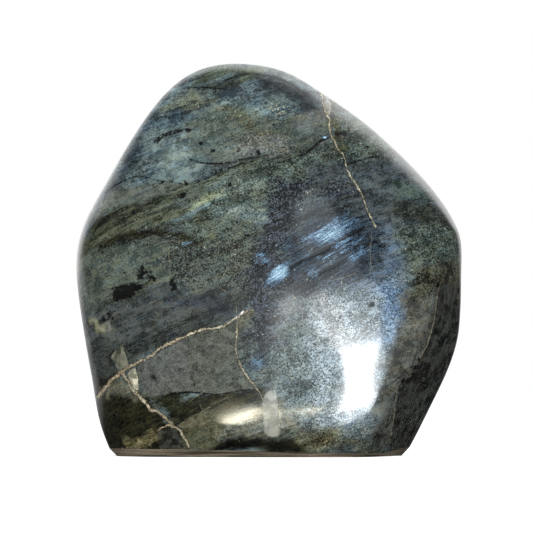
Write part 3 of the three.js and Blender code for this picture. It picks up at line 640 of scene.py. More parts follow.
# ---------------------------------------------------------------- markings on the fine mesh
true = pts.copy()
C = chart(true)
P3 = np.column_stack([C, true[:, 1]])  # chart position and depth: what the markings follow
seam = {k: group(v, C) for k, v in SEAMS.items()}
crack = {k: group(v, C) for k, v in CRACKS.items()}
block = {k: polygon(v, C) for k, v in BLOCKS.items()}
# black grains run together where they touch
run_together = np.zeros(len(C))
for x, z, r in SPOTS:
    run_together += np.exp(-np.clip((np.hypot((C[:, 0] - x), (C[:, 1] - z) * 1.2) - r) / 0.45, -20, 40))
spot = np.minimum(-0.45 * np.log(run_together + 1e-9), 9.0)
spot += 0.35 * wobble(P3, 1.7, 33)

# relief: worn seams lie a little low, black grains and open cracks are small pits
N = normals(true, tris)
polished = ~(bevel | cap | rim | crease)
sink = np.zeros(len(pts))
for k, v in seam.items():
    w = np.maximum(v[:, 1], 0.05)
    sink += (v[:, 1] > 0) * (0.012 + 0.05 * np.clip(v[:, 1] - 0.2, 0, 0.4) / 0.4) * np.exp(-((v[:, 0] / (w * 1.3)) ** 2)) * (0.7 + 0.3 * wobble(P3, 1.6, 11))
for k, v in crack.items():
    w = np.maximum(v[:, 1], 0.05)
    sink += (v[:, 1] > 0) * 0.03 * np.clip(w / 0.25, 0, 1) * np.exp(-((v[:, 0] / w) ** 2))
sink += 0.015 * smooth(-spot, -0.4, 0.6)
lift = polish_waves(true)
pts[polished] += (N * (lift - sink)[:, None])[polished]

# ---------------------------------------------------------------- what the stone looks like, zone by zone
# dark tone, light tone (sRGB 0-255), then streaks, grain, clouds, silver shine
LOOKS = {
    "slate": ((39, 48, 54), (107, 124, 125), 0.45, 0.25, 0.90, 0.02),
    "slate2": ((34, 38, 37), (76, 82, 81), 0.42, 0.15, 0.90, 0.02),
    "slatehaze": ((53, 65, 75), (100, 115, 133), 0.30, 0.50, 0.74, 0.14),
    "deepslate": ((19, 30, 37), (66, 80, 88), 0.72, 0.10, 0.42, 0),
    "bluedark": ((28, 40, 47), (89, 108, 115), 0.36, 0.50, 0.74, 0.04),
    "bluedark2": ((9, 15, 19), (37, 46, 52), 0.48, 0.30, 0.58, 0.02),
    "lightslate": ((76, 91, 90), (122, 136, 134), 0.30, 0.15, 1.00, 0),
    "slatelight2": ((25, 30, 38), (55, 60, 71), 0.54, 0.10, 0.58, 0.04),
    "lens": ((48, 56, 49), (97, 102, 97), 0.36, 0.15, 0.74, 0),
    "topgrey": ((41, 47, 33), (78, 86, 63), 0.60, 0.10, 0.58, 0),
    "stone": ((46, 55, 52), (94, 102, 92), 0.32, 0.60, 0.68, 0.01),
    "stonelight": ((75, 79, 80), (121, 124, 119), 0.24, 0.40, 0.55, 0),
    "beige": ((70, 71, 68), (128, 129, 124), 0.16, 1.00, 0.42, 0.01),
    "sage": ((31, 38, 34), (92, 104, 97), 0.24, 0.85, 0.68, 0.02),
    "greenlight": ((69, 80, 72), (135, 145, 135), 0.24, 0.80, 0.55, 0.01),
    "aqua": ((64, 83, 86), (133, 152, 155), 0.42, 0.30, 0.58, 0),
    "aqua2": ((72, 86, 86), (130, 143, 141), 0.24, 0.70, 0.55, 0),
    "teal": ((26, 41, 37), (82, 96, 89), 0.24, 0.40, 0.90, 0),
    "lime": ((82, 92, 67), (176, 183, 144), 0.64, 0.30, 0.42, 0),
    "olive": ((20, 24, 18), (70, 75, 61), 0.80, 0.40, 0.42, 0),
    "olive2": ((32, 35, 28), (92, 98, 81), 0.80, 0.50, 0.42, 0),
    "arcolive": ((14, 15, 7), (40, 45, 28), 0.80, 0.20, 0.42, 0),
    "darkolive": ((23, 26, 22), (57, 63, 56), 0.56, 0.40, 0.55, 0),
    "oliveline": ((11, 12, 9), (49, 49, 43), 0.80, 0.50, 0.30, 0),
    "oliveband": ((52, 53, 37), (115, 114, 101), 0.48, 0.20, 0.42, 0),
    "brown": ((19, 20, 18), (89, 100, 89), 0.80, 0.50, 0.30, 0),
    "ink2": ((4, 4, 4), (50, 50, 28), 0.80, 0.50, 0.30, 0),
    "ink": ((4, 4, 4), (42, 42, 26), 0.80, 0.15, 0.30, 0),
    "dark_reflection": ((2, 2, 2), (24, 24, 17), 0.80, 0.15, 0.30, 0),
    "pewterdark": ((20, 27, 26), (74, 86, 84), 0.20, 0.90, 0.70, 0.06),
    # pale tone painted as the glow round the window's highlight
    "silver_glow": ((78, 88, 90), (158, 170, 176), 0.16, 0.80, 0.80, 0.6),
    "coal": ((8, 9, 4), (48, 50, 34), 0.72, 0.20, 0.55, 0),
    "deep": ((22, 26, 25), (64, 69, 67), 0.64, 0.20, 0.55, 0),
    "umber": ((29, 30, 25), (87, 95, 88), 0.40, 1.00, 0.42, 0.02),
    "umberdark": ((15, 14, 12), (83, 85, 70), 0.40, 0.70, 0.68, 0),
    "moss": ((66, 68, 54), (146, 144, 117), 0.24, 0.90, 0.68, 0.04),
    "moss2": ((44, 46, 32), (92, 93, 75), 0.40, 0.30, 0.68, 0),
    "yellowmoss": ((87, 82, 43), (198, 190, 144), 0.24, 0.90, 0.42, 0),
    "brownmoss": ((19, 15, 4), (47, 39, 18), 0.24, 1.00, 0.42, 0),
    "gold": ((41, 42, 29), (98, 99, 74), 0.56, 0.90, 0.30, 0.02),
    "goldstain": ((20, 21, 4), (85, 78, 35), 0.32, 0.40, 0.42, 0),
    "smoke": ((4, 4, 4), (68, 75, 86), 0.24, 1.20, 0.30, 0.08),
    "night": ((4, 6, 13), (51, 64, 75), 1.04, 0.70, 0.30, 0.05),
    "mauve": ((30, 36, 39), (81, 90, 93), 0.42, 0.35, 0.74, 0.05),
    "lilac": ((20, 22, 28), (73, 80, 84), 0.32, 1.00, 0.30, 0.04),
    "ash": ((48, 50, 47), (99, 101, 95), 0.16, 0.15, 0.93, 0.02),
    "greyquad": ((61, 62, 54), (117, 117, 102), 0.32, 0.20, 0.55, 0),
    "cream": ((186, 183, 122), (249, 249, 172), 0.24, 0.50, 0.55, 0),
    "satin": ((52, 55, 47), (120, 122, 110), 0.40, 0.30, 0.68, 0.04),
    "pewter": ((33, 42, 40), (94, 108, 108), 0.20, 0.90, 1.00, 0.2),
    "silver": ((54, 63, 65), (132, 144, 150), 0.16, 0.80, 0.93, 0.55),
    "blue_sheen": ((48, 68, 95), (116, 149, 182), 0.24, 1.10, 0.30, 0.35),
    "warm_glow": ((88, 88, 89), (164, 160, 155), 0.16, 0.70, 0.42, 0.45),
    "facetlight": ((52, 50, 40), (84, 80, 66), 0.24, 0.30, 0.68, 0),
    "darkspeck": ((7, 8, 8), (70, 75, 60), 0.32, 0.80, 0.42, 0),
}


def linear(rgb):
    v = np.array(rgb, float) / 255
    return np.where(v <= 0.04045, v / 12.92, ((v + 0.055) / 1.055) ** 2.4)


def look_row(name):
    dark, light, *rest = LOOKS[name]
    return np.concatenate([linear(dark), linear(light), rest])


# Away from the face the same rock goes on: a few looks take turns along the lamellae.
T = flow(C)
S = C[:, 0] * 0.94 + C[:, 1] * 0.34
F3 = np.column_stack([S / 3.2, T, true[:, 1] / 1.8])
weights, rows = [], []
for i, name in enumerate(("stone", "slate", "sage", "olive2", "mauve", "umber", "smoke", "pewter")):
    bias = (0.5, 0.45, 0.45, -0.1, 0.0, -0.1, -0.35, -0.3)[i]
    weights.append(np.exp(3.2 * (wobble(F3, 17 - i, 40 + i, 10) + bias)))
    rows.append(look_row(name))
weights = np.array(weights)
paint = (weights / weights.sum(0)).T @ np.array(rows)

# the borders of the zones wander, mostly along the lamellae
wander = 0.9 * wobble(F3, 7, 21) + 0.45 * wobble(P3, 2.4, 22)
CW = C + np.stack([wander * 1.0 + 0.5 * wobble(P3, 3.5, 23), wander * 0.5 + 0.7 * wobble(F3, 4.5, 24)], 1) * 0.8
on_face = 1 - smooth(true[:, 1], -2, 9)


def lay(name, strength, d, soft):
    m = (strength * on_face * (1 - smooth(d, -soft, soft)))[:, None]
    paint[:] = paint * (1 - m) + look_row(name) * m


for name, strength, soft, outline_pts in AREAS:
    lay(name, strength, polygon(outline_pts, CW), soft)
for name, strength, soft, band in BANDS:
    line = resample([(a, b, w, 0) for a, b, w in band])
    best = np.full(len(CW), 1e9)
    for a, b in zip(line[:-1], line[1:]):
        ab, ac = b[:2] - a[:2], CW - a[:2]
        t = np.clip(ac @ ab / (ab @ ab + 1e-12), 0, 1)
        best = np.minimum(best, np.hypot(*(ac - t[:, None] * ab).T) - (a[2] + (b[2] - a[2]) * t))
    lay(name, strength, best, soft)

flash = np.zeros(len(C))
for x, z, a, b, deg, strength in FLASHES:
    dx, dz = CW[:, 0] - x, CW[:, 1] - z
    ca, sa = math.cos(math.radians(deg)), math.sin(math.radians(deg))
    u, v = (dx * ca + dz * sa) / a, (-dx * sa + dz * ca) / b
    flash = np.maximum(flash, strength * np.exp(-((u * u + v * v) ** 1.3)))
flash *= on_face
# and painted flashes of sheen that belong to the other sides
around = smooth(true[:, 1], 3, 9)
side_flash = smooth(wobble(F3 * (0.8, 1, 0.8), 15, 61) + 0.8 * wobble(P3, 26, 62), 1.8, 3.3) * around
flash = np.maximum(flash, 0.5 * side_flash)

# past the rim the small quads and grains of the face give way to plain rock
past = 0.6 * np.maximum(0, true[:, 1] - 2)
for k in block:
    if k != "facet":
        block[k] = block[k] + past
spot = spot + past
for k in ("c", "d"):
    seam[k][:, 1] -= 0.1 * past
for k in crack:
    crack[k][:, 1] -= 0.05 * past

# ---------------------------------------------------------------- the piece
centre = (pts.min(0) + pts.max(0)) / 2
SHIFT = np.array([(lo.x + hi.x) * 500 - centre[0], (lo.y + hi.y) * 500 - centre[1], 0])
mesh = bpy.data.meshes.new("stone")
mesh.from_pydata(((pts + SHIFT) / 1000).tolist(), [], tris.tolist())
ev = np.empty(len(mesh.edges) * 2, np.int32)
mesh.edges.foreach_get("vertices", ev)
ev = ev.reshape(-1, 2)
sharp = (crease[ev].all(1)) | (rim[ev].all(1))
mesh.attributes.new("sharp_edge", "BOOLEAN", "EDGE").data.foreach_set("value", sharp)
mesh.polygons.foreach_set("use_smooth", np.ones(len(mesh.polygons), bool))


def put(name, values):
    values = np.asarray(values, np.float32)
    if values.ndim == 1:
        mesh.attributes.new(name, "FLOAT", "POINT").data.foreach_set("value", values)
    else:
        mesh.attributes.new(name, "FLOAT_VECTOR", "POINT").data.foreach_set("vector", values.ravel())


stone = bpy.data.objects.new("polished_stone", mesh)
bpy.context.scene.collection.objects.link(stone)
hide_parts(STONE)
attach(stone, "root")

sawn_face = np.ones(len(tris))
skin_corner = ~(bevel | cap | rim | crease)
sawn_face[skin_corner[tris].any(1)] = 0
flat_n = unit(np.cross(true[tris[:, 1]] - true[tris[:, 0]], true[tris[:, 2]] - true[tris[:, 0]]) + 1e-15)
sawn_face[crease[tris].all(1) & (flat_n[:, 2] > -0.5)] = 0
mesh.attributes.new("sawn", "FLOAT", "FACE").data.foreach_set("value", sawn_face.astype(np.float32))
put("place", P3)
put("flow", np.column_stack([S, T, true[:, 1]]))
put("tone_dark", paint[:, 0:3])
put("tone_light", paint[:, 3:6])
put("grit", paint[:, 6:9])
put("shine", np.column_stack([paint[:, 9], flash, np.zeros(len(flash))]))
for k, v in seam.items():
    put("seam_" + k, v)
for k, v in crack.items():
    put("crack_" + k, v)
put("blocks_1", np.column_stack([block["b1"], block["b2"], block["b3"]]))
put("blocks_2", np.column_stack([block["b3b"], block["b4"], block["b5"]]))
put("blocks_3", np.column_stack([block["b6"], block["b7"], block["b9"]]))
put("blocks_4", np.column_stack([block["facet"], block["shard"], spot]))

# ---------------------------------------------------------------- the stone's material
mat = bpy.data.materials.new(SLOT)
mat.use_nodes = True
nt = mat.node_tree
bsdf = nt.nodes["Principled BSDF"]
mesh.materials.append(mat)


def is_socket(v):
    return hasattr(v, "is_linked")


def feed(socket, v):
    if is_socket(v):
        nt.links.new(v, socket)
    elif v is not None:
        socket.default_value = v


def attr(name):
    n = nt.nodes.new("ShaderNodeAttribute")
    n.attribute_name = name
    return n


def parts(v):
    n = nt.nodes.new("ShaderNodeSeparateXYZ")
    feed(n.inputs[0], v)
    return list(n.outputs)


def vec(x, y, z):
    n = nt.nodes.new("ShaderNodeCombineXYZ")
    for s, v in zip(n.inputs, (x, y, z)):
        feed(s, v)
    return n.outputs[0]


def M(op, a, b=None, c=None, clamp=False):
    n = nt.nodes.new("ShaderNodeMath")
    n.operation, n.use_clamp = op, clamp
    for s, v in zip(n.inputs, (a, b, c)):
        feed(s, v)
    return n.outputs[0]


def V(op, a, b, c=None):
    n = nt.nodes.new("ShaderNodeVectorMath")
    n.operation = op
    for s, v in zip(n.inputs, (a, b, c)):
        feed(s, v)
    return n.outputs[0]


def length(v):
    n = nt.nodes.new("ShaderNodeVectorMath")
    n.operation = "LENGTH"
    feed(n.inputs[0], v)
    return n.outputs["Value"]


def ramp(x, a, b, low=0.0, high=1.0):
    """Smooth step of x from low at a to high at b."""
    n = nt.nodes.new("ShaderNodeMapRange")
    n.interpolation_type = "SMOOTHSTEP"
    for s, v in zip([n.inputs[k] for k in ("Value", "From Min", "From Max", "To Min", "To Max")], (x, a, b, low, high)):
        feed(s, v)
    return n.outputs[0]


def mixf(f, a, b):
    n = nt.nodes.new("ShaderNodeMix")
    n.data_type = "FLOAT"
    feed(n.inputs["Factor"], f)
    feed(n.inputs["A"], a)
    feed(n.inputs["B"], b)
    return n.outputs["Result"]


def rgb(r, g, b_):
    return (*linear((r, g, b_)), 1.0)


def mixc(f, a, b, blend="MIX"):
    n = nt.nodes.new("ShaderNodeMix")
    n.data_type, n.blend_type = "RGBA", blend
    feed(n.inputs[0], f)
    feed(n.inputs[6], a)
    feed(n.inputs[7], b)
    return n.outputs[2]


def noise(v, scale, detail=2.0, rough=0.5, twist=0.0, seed=0.0):
    """Noise in 0..1 about 0.5; scale is per mm on each axis."""
    n = nt.nodes.new("ShaderNodeTexNoise")
    feed(n.inputs["Vector"], V("MULTIPLY_ADD", v, scale if isinstance(scale, tuple) else (scale,) * 3, (seed, seed * 1.7, seed * 0.6)))
    n.inputs["Scale"].default_value = 1.0
    n.inputs["Detail"].default_value = detail
    n.inputs["Roughness"].default_value = rough
    n.inputs["Distortion"].default_value = twist
    return n.outputs["Fac"]


def cells(v, scale, seed=0.0, edge=False):
    """Random values for each small cell, or the distance to the nearest cell wall."""
    n = nt.nodes.new("ShaderNodeTexVoronoi")
    feed(n.inputs["Vector"], V("MULTIPLY_ADD", v, scale if isinstance(scale, tuple) else (scale,) * 3, (seed, seed, seed)))
    n.inputs["Scale"].default_value = 1.0
    if edge:
        n.feature = "DISTANCE_TO_EDGE"
        return n.outputs["Distance"]
    return parts(n.outputs["Color"])


place, run = attr("place").outputs["Vector"], attr("flow").outputs["Vector"]
place_x, place_z, place_y = parts(place)
depth = place_y
streaky, grainy, cloudy = parts(attr("grit").outputs["Vector"])
metal, glow, _ = parts(attr("shine").outputs["Vector"])
dark, light = attr("tone_dark").outputs["Vector"], attr("tone_light").outputs["Vector"]

# lamellae: long thin streaks; grains about half a millimetre across; soft clouds
broad = noise(run, (0.085, 0.85, 0.22), 4, 0.6, 0.4, 3.1)
fine = noise(run, (0.2, 3.0, 0.5), 3, 0.6, 0.2, 7.7)
cloud = noise(place, 0.17, 4, 0.6, 0.0, 1.3)
speck = noise(place, 2.5, 1, 0.5, 0.0, 9.2)
ca, cb, cc = cells(place, 3.0)
da, db, dc = cells(place, 1.25, 4.0)
cloud2 = noise(place, 0.5, 3, 0.6, 0.3, 2.3)
# cleavage: angular patches a few millimetres across that catch the light a little differently, and fine cracks
shift_n = nt.nodes.new("ShaderNodeTexNoise")
feed(shift_n.inputs["Vector"], place)
shift_n.inputs["Scale"].default_value, shift_n.inputs["Detail"].default_value = 0.8, 3.0
bent = V("MULTIPLY_ADD", shift_n.outputs["Color"], (1.6, 1.6, 1.6), place)
bent_run = V("MULTIPLY_ADD", shift_n.outputs["Color"], (2.2, 1.0, 1.6), run)
ea, eb, ec = cells(bent_run, (0.12, 0.42, 0.2), 2.0)
ga, gb, gc = cells(bent, 0.62, 6.0)
net = cells(bent_run, (0.10, 0.30, 0.2), 11.0, True)
net2 = cells(bent, 0.5, 15.0, True)
gather = noise(place, 0.28, 3, 0.65, 0.4, 21.0)
tone = M("MULTIPLY", streaky, M("ADD", M("MULTIPLY_ADD", broad, 2.6, -1.3), M("MULTIPLY_ADD", fine, 3.0, -1.5)))
grain = M("ADD", M("MULTIPLY_ADD", speck, 2.2, -1.1), M("MULTIPLY_ADD", ca, 1.1, -0.55))
tone = M("MULTIPLY_ADD", M("MAXIMUM", grainy, 0.5), grain, tone)
tone = M("MULTIPLY_ADD", cloudy, M("ADD", M("MULTIPLY_ADD", cloud, 2.0, -1.0), M("MULTIPLY_ADD", cloud2, 1.6, -0.8)), tone)
plates = M("ADD", M("MULTIPLY_ADD", ea, 0.44, -0.22), M("MULTIPLY_ADD", ga, 0.36, -0.18))
calm = ramp(metal, 0.05, 0.45, 1.0, 0.35)
tone = M("ADD", tone, M("MULTIPLY", M("MULTIPLY", plates, calm), M("MULTIPLY_ADD", cloudy, 0.8, 0.6)))
cloud3 = noise(bent_run, (0.45, 1.7, 0.7), 3, 0.7, 0.6, 27.0)
tone = M("MULTIPLY_ADD", M("MULTIPLY_ADD", cloud3, 0.85, -0.425), calm, tone)
tone = M("ADD", tone, 0.42, clamp=True)
colour = mixc(tone, dark, light)
# the tint drifts a little, warmer where it is stained, cooler where the lamellae are clean
hue = noise(bent_run, (0.16, 0.5, 0.25), 3, 0.65, 0.4, 31.0)
hue2 = noise(place, 0.7, 2, 0.6, 0.3, 35.0)
tint = mixc(ramp(mixf(0.35, hue, hue2), 0.34, 0.66), (1.10, 1.0, 0.86, 1), (0.91, 1.0, 1.10, 1))
colour = mixc(ramp(metal, 0.1, 0.45, 1.0, 0.35), colour, mixc(1.0, colour, tint, "MULTIPLY"))

# thin dark contour lines where one lamella ends on another
contour = noise(run, (0.035, 0.42, 0.12), 3, 0.55, 0.5, 12.4)
contour = M("ABSOLUTE", M("SUBTRACT", contour, 0.5))
contour2 = M("ABSOLUTE", M("SUBTRACT", broad, 0.47))
lines = M("MAXIMUM", ramp(contour, 0.016, 0.003), M("MULTIPLY", ramp(contour2, 0.010, 0.002), 0.6))
lines = M("MULTIPLY", lines, M("MULTIPLY", ramp(streaky, 0.2, 0.9, 0.25, 0.7), ramp(cloud2, 0.42, 0.55)))
colour = mixc(lines, colour, rgb(24, 24, 18))

mesh_lines = M("MULTIPLY", ramp(net, 0.030, 0.008), ramp(cloud2, 0.44, 0.54))
mesh_lines = M("MAXIMUM", mesh_lines, M("MULTIPLY", ramp(net2, 0.05, 0.012), ramp(broad, 0.5, 0.6, 0.0, 0.75)))
colour = mixc(M("MULTIPLY", mesh_lines, 0.5), colour, rgb(20, 20, 16))

# dark grains, and painted glints: pale sparkle painted into the colour among the grainy parts
pepper = M("MULTIPLY", ramp(M("SUBTRACT", cb, ramp(gather, 0.46, 0.36, 0.0, 0.12)), 0.10, 0.03), ramp(grainy, 0.15, 0.9, 0.2, 0.85))
pepper = M("MAXIMUM", pepper, M("MULTIPLY", ramp(da, 0.34, 0.22), ramp(grainy, 0.95, 1.15, 0.0, 0.75)))
colour = mixc(pepper, colour, rgb(12, 13, 13))
near_glint = M("ADD", cb, ramp(gather, 0.52, 0.68, 0.0, 0.055))
glint = M("MULTIPLY", ramp(near_glint, 0.994, 1.012), ramp(grainy, 0.2, 1.0, 0.1, 0.55))
colour = mixc(glint, colour, mixc(cc, rgb(188, 184, 148), rgb(168, 180, 186)))

# a nest of painted glints, cream sparkle under the crown, and one small blue fleck
near_face = ramp(depth, 0.0, -4.0)
nest = V("MULTIPLY_ADD", place, (1 / 3.4, 1 / 1.7, 0.0), (-2.4 / 3.4, -97.4 / 1.7, 0.0))
nest = M("MULTIPLY", ramp(length(nest), 1.3, 0.2), near_face)
colour = mixc(M("MULTIPLY", nest, ramp(cells(place, 3.7, 19.0)[0], 0.80, 0.86, 0.0, 0.8)), colour, rgb(196, 192, 158))
fleck = V("MULTIPLY_ADD", place, (1 / 0.5, 1 / 0.3, 0.0), (-15.6 / 0.5, -89.5 / 0.3, 0.0))
colour = mixc(M("MULTIPLY", ramp(length(fleck), 1.2, 0.6, 0.0, 0.9), near_face), colour, rgb(150, 190, 214))

# straight-edged blocks between the seams, each with a tone of its own
mottle = noise(place, 0.55, 4, 0.65, 0.0, 5.5)
patchy = noise(run, (0.25, 0.7, 0.3), 3, 0.6, 0.5, 2.2)


def block_tone(sdf, amount, dark_rgb, light_rgb, by, soft=0.12):
    global colour
    m = ramp(sdf, soft, -soft, 0.0, amount)
    colour = mixc(m, colour, mixc(ramp(by, 0.3, 0.7), rgb(*dark_rgb), rgb(*light_rgb)))
    return m


b1, b2, b3 = parts(attr("blocks_1").outputs["Vector"])
b3b, b4, b5 = parts(attr("blocks_2").outputs["Vector"])
b6, b7, b9 = parts(attr("blocks_3").outputs["Vector"])
facet, shard, spot = parts(attr("blocks_4").outputs["Vector"])
mottle = mixf(0.35, mottle, ga)
fm1 = mixf(0.4, mixf(0.4, mottle, cloud3), speck)
block_tone(b1, 0.9, (34, 36, 36), (97, 99, 93), fm1)
block_tone(b2, 0.9, (15, 18, 16), (93, 96, 86), fm1)
block_tone(b9, 0.6, (54, 52, 39), (102, 98, 79), mottle)
block_tone(b3, 0.8, (112, 110, 94), (200, 194, 170), mottle)
block_tone(b3b, 0.65, (56, 58, 50), (132, 132, 113), mottle)
block_tone(b5, 0.7, (18, 17, 9), (106, 102, 78), fm1)
block_tone(b6, 0.6, (56, 60, 52), (136, 136, 124), mottle)
block_tone(b7, 0.65, (18, 18, 18), (66, 66, 60), mottle)
block_tone(b4, 0.8, (108, 110, 102), (142, 142, 132), mottle, 0.3)
block_tone(shard, 0.7, (101, 98, 90), (153, 146, 136), mottle, 0.2)
# the right facet: dark rock, painted darker still as shade where the facet turns away from the light
facet_by = M("ADD", mixf(0.65, patchy, cloud2), M("MULTIPLY_ADD", ec, 0.24, -0.12))
facet_by = M("ADD", facet_by, M("MULTIPLY_ADD", gc, 0.26, -0.13))
facet_by = M("ADD", facet_by, M("MULTIPLY_ADD", speck, 0.24, -0.12))
on_facet = block_tone(facet, 0.94, (1, 2, 3), (62, 65, 60), facet_by, 0.2)
veins = M("MULTIPLY", ramp(net, 0.05, 0.01), ramp(cloud, 0.46, 0.56))
colour = mixc(M("MULTIPLY", M("MULTIPLY", on_facet, veins), 0.4), colour, rgb(92, 88, 72))
colour = mixc(M("MULTIPLY", M("MULTIPLY", on_facet, ramp(net2, 0.06, 0.015)), 0.5), colour, rgb(8, 9, 8))
black_grit = M("MULTIPLY", on_facet, ramp(cb, 0.12, 0.04))
colour = mixc(M("MULTIPLY", black_grit, 0.7), colour, rgb(6, 6, 6))

# painted sheen: the blue flashes are painted into the colour, ruled with fine parallel lines
ruled = vec(M("ADD", M("MULTIPLY", place_x, 0.848), M("MULTIPLY", place_z, 0.53)), M("SUBTRACT", M("MULTIPLY", place_z, 0.848), M("MULTIPLY", place_x, 0.53)), place_y)
rule = noise(ruled, (0.3, 4.6, 1.0), 3, 0.7, 0.25, 4.4)
rule2 = noise(ruled, (0.12, 1.5, 0.6), 2, 0.6, 0.2, 9.4)
spark = M("ADD", M("MULTIPLY_ADD", rule, 1.4, -0.7), M("MULTIPLY_ADD", rule2, 0.9, -0.45))
spark = M("ADD", spark, M("MULTIPLY_ADD", speck, 0.8, -0.4))
fl = M("MULTIPLY", ramp(glow, 0.03, 0.2), M("ADD", glow, spark))
fl = ramp(fl, 0.12, 1.0)
deep_blue = mixc(ramp(cc, 0.2, 0.8), rgb(58, 82, 106), rgb(80, 106, 130))
colour = mixc(M("MULTIPLY", ramp(fl, 0.02, 0.4), 0.8), colour, deep_blue)
colour = mixc(ramp(fl, 0.35, 0.95, 0.0, 0.9), colour, rgb(126, 156, 172))
colour = mixc(ramp(fl, 0.85, 1.0, 0.0, 0.6), colour, rgb(178, 198, 212))

# open cracks: broken black lines
ragged = noise(place, 1.7, 2, 0.6, 0.0, 6.1)
open_here = 0.0
for k, gap in (("a", 0.38), ("b", 0.38)):
    d, w, s = parts(attr("crack_" + k).outputs["Vector"])
    d = M("ADD", M("ABSOLUTE", d), M("MULTIPLY_ADD", ragged, 0.5, -0.25))
    m = ramp(d, M("MULTIPLY_ADD", w, 1.7, 0.05), M("MULTIPLY", w, 0.8))
    m = M("MULTIPLY", M("MULTIPLY", m, ramp(w, 0.01, 0.07)), M("MULTIPLY", s, ramp(noise(place, 1.2, 2, 0.6, 0.0, 8.8), gap - 0.04, gap + 0.1)))
    colour = mixc(M("MULTIPLY", m, 0.92), colour, rgb(9, 9, 7))

# healed seams: cream cores, rusty edges, a thin dark border
worn = 0.0
jag = M("MULTIPLY_ADD", noise(place, 0.8, 3, 0.7, 0.0, 17.3), 1.7, -0.85)
bead = noise(place, 0.75, 4, 0.75, 0.6, 2.9)
for k in "abcd":
    d, w, t = parts(attr("seam_" + k).outputs["Vector"])
    real = ramp(w, 0.01, 0.08)
    w = M("MULTIPLY", w, ramp(bead, 0.28, 0.72, 0.5, 1.15))
    d = M("ADD", d, M("MULTIPLY", jag, ramp(w, 0.04, 0.3, 0.35, 1.0)))
    d = M("ADD", M("ABSOLUTE", d), M("MULTIPLY_ADD", ragged, 0.7, -0.36))
    border = M("MULTIPLY", M("MULTIPLY", real, ramp(d, M("ADD", w, 0.42), M("MULTIPLY", w, 0.9))), ramp(w, 0.05, 0.25, 0.12, 0.7))
    colour = mixc(border, colour, rgb(34, 32, 22))
    core = M("MULTIPLY", real, ramp(d, M("MULTIPLY", w, 1.15), M("MULTIPLY", w, 0.45)))
    core = M("MULTIPLY", core, ramp(M("ADD", M("ADD", ragged, M("MULTIPLY_ADD", gather, 0.8, -0.4)), M("MULTIPLY_ADD", speck, 0.5, -0.25)), 0.34, 0.56, 0.45, 1.0))
    edge = ramp(M("DIVIDE", d, M("MAXIMUM", w, 0.05)), 0.1, 0.9)
    rust = M("MULTIPLY", M("MAXIMUM", M("MULTIPLY", edge, 0.85), ramp(ragged, 0.48, 0.62)), t)
    body = mixc(ramp(mixf(0.5, bead, speck), 0.36, 0.62), rgb(98, 94, 76), rgb(190, 186, 164))
    body = mixc(ramp(w, 0.38, 0.12), body, mixc(1.0, body, (0.74, 0.74, 0.74, 1), "MULTIPLY"))
    body = mixc(M("MULTIPLY", t, 0.3), body, rgb(164, 134, 92))
    body = mixc(M("MULTIPLY", rust, 0.75), body, rgb(92, 66, 42))
    colour = mixc(M("MULTIPLY", core, ramp(w, 0.05, 0.24, 0.35, 0.94)), colour, body)
    worn = M("MAXIMUM", worn, core)

# black grains
pool = noise(run, (0.5, 1.5, 0.8), 3, 0.6, 0.5, 14.0)
black = ramp(M("ADD", M("ADD", spot, M("MULTIPLY_ADD", pool, 2.6, -1.3)), M("MULTIPLY_ADD", ragged, 0.9, -0.45)), 0.65, -0.25)
colour = mixc(M("MULTIPLY", black, 0.94), colour, mixc(ramp(cells(place, 2.3, 41.0)[1], 0.975, 0.995), rgb(6, 6, 7), rgb(84, 80, 70)))

# the sawn base and its bevel: brown-grey, level fine layers
sawn = attr("sawn").outputs["Fac"]
layer = noise(place, (0.05, 2.6, 0.05), 3, 0.65, 0.1, 3.3)
raw = mixc(ramp(layer, 0.36, 0.64), rgb(54, 48, 38), rgb(122, 112, 96))
raw = mixc(ramp(speck, 0.35, 0.7, 0.0, 0.35), raw, rgb(40, 38, 32))
colour = mixc(sawn, colour, raw)
colour = mixc(1.0, colour, (GAIN, GAIN, GAIN, 1), "MULTIPLY")
feed(bsdf.inputs["Base Color"], colour)

# reflecting lamellae under the polish
silver = M("MULTIPLY", metal, ramp(M("ADD", tone, M("MULTIPLY_ADD", ca, 0.5, -0.25)), 0.1, 0.9, 0.25, 0.85))
silver = M("MAXIMUM", silver, M("MULTIPLY", fl, 0.2))
dull = M("MAXIMUM", M("MAXIMUM", worn, black), M("MAXIMUM", sawn, on_facet))
feed(bsdf.inputs["Metallic"], M("MULTIPLY", silver, M("SUBTRACT", 1.0, dull), clamp=True))
rough = M("ADD", 0.40, M("MULTIPLY_ADD", cc, 0.12, -0.06))
rough = M("ADD", rough, M("MULTIPLY", dull, 0.2))
feed(bsdf.inputs["Roughness"], rough)
feed(bsdf.inputs["Coat Weight"], M("SUBTRACT", 1.0, M("MAXIMUM", M("MULTIPLY", worn, 0.45), M("MULTIPLY", sawn, 0.92))))
bsdf.inputs["Coat Roughness"].default_value = 0.09
bsdf.inputs["Coat IOR"].default_value = 1.55
bsdf.inputs["IOR"].default_value = 1.1
bump = nt.nodes.new("ShaderNodeBump")
bump.inputs["Strength"].default_value = 1.0
bump.inputs["Distance"].default_value = 0.00001
feed(bump.inputs["Height"], M("ADD", M("MULTIPLY", M("MULTIPLY", speck, 0.9), ramp(metal, 0.0, 0.8, 0.2, 1.0)), M("MULTIPLY", sawn, M("MULTIPLY", layer, 4.0))))
feed(bsdf.inputs["Normal"], bump.outputs["Normal"])

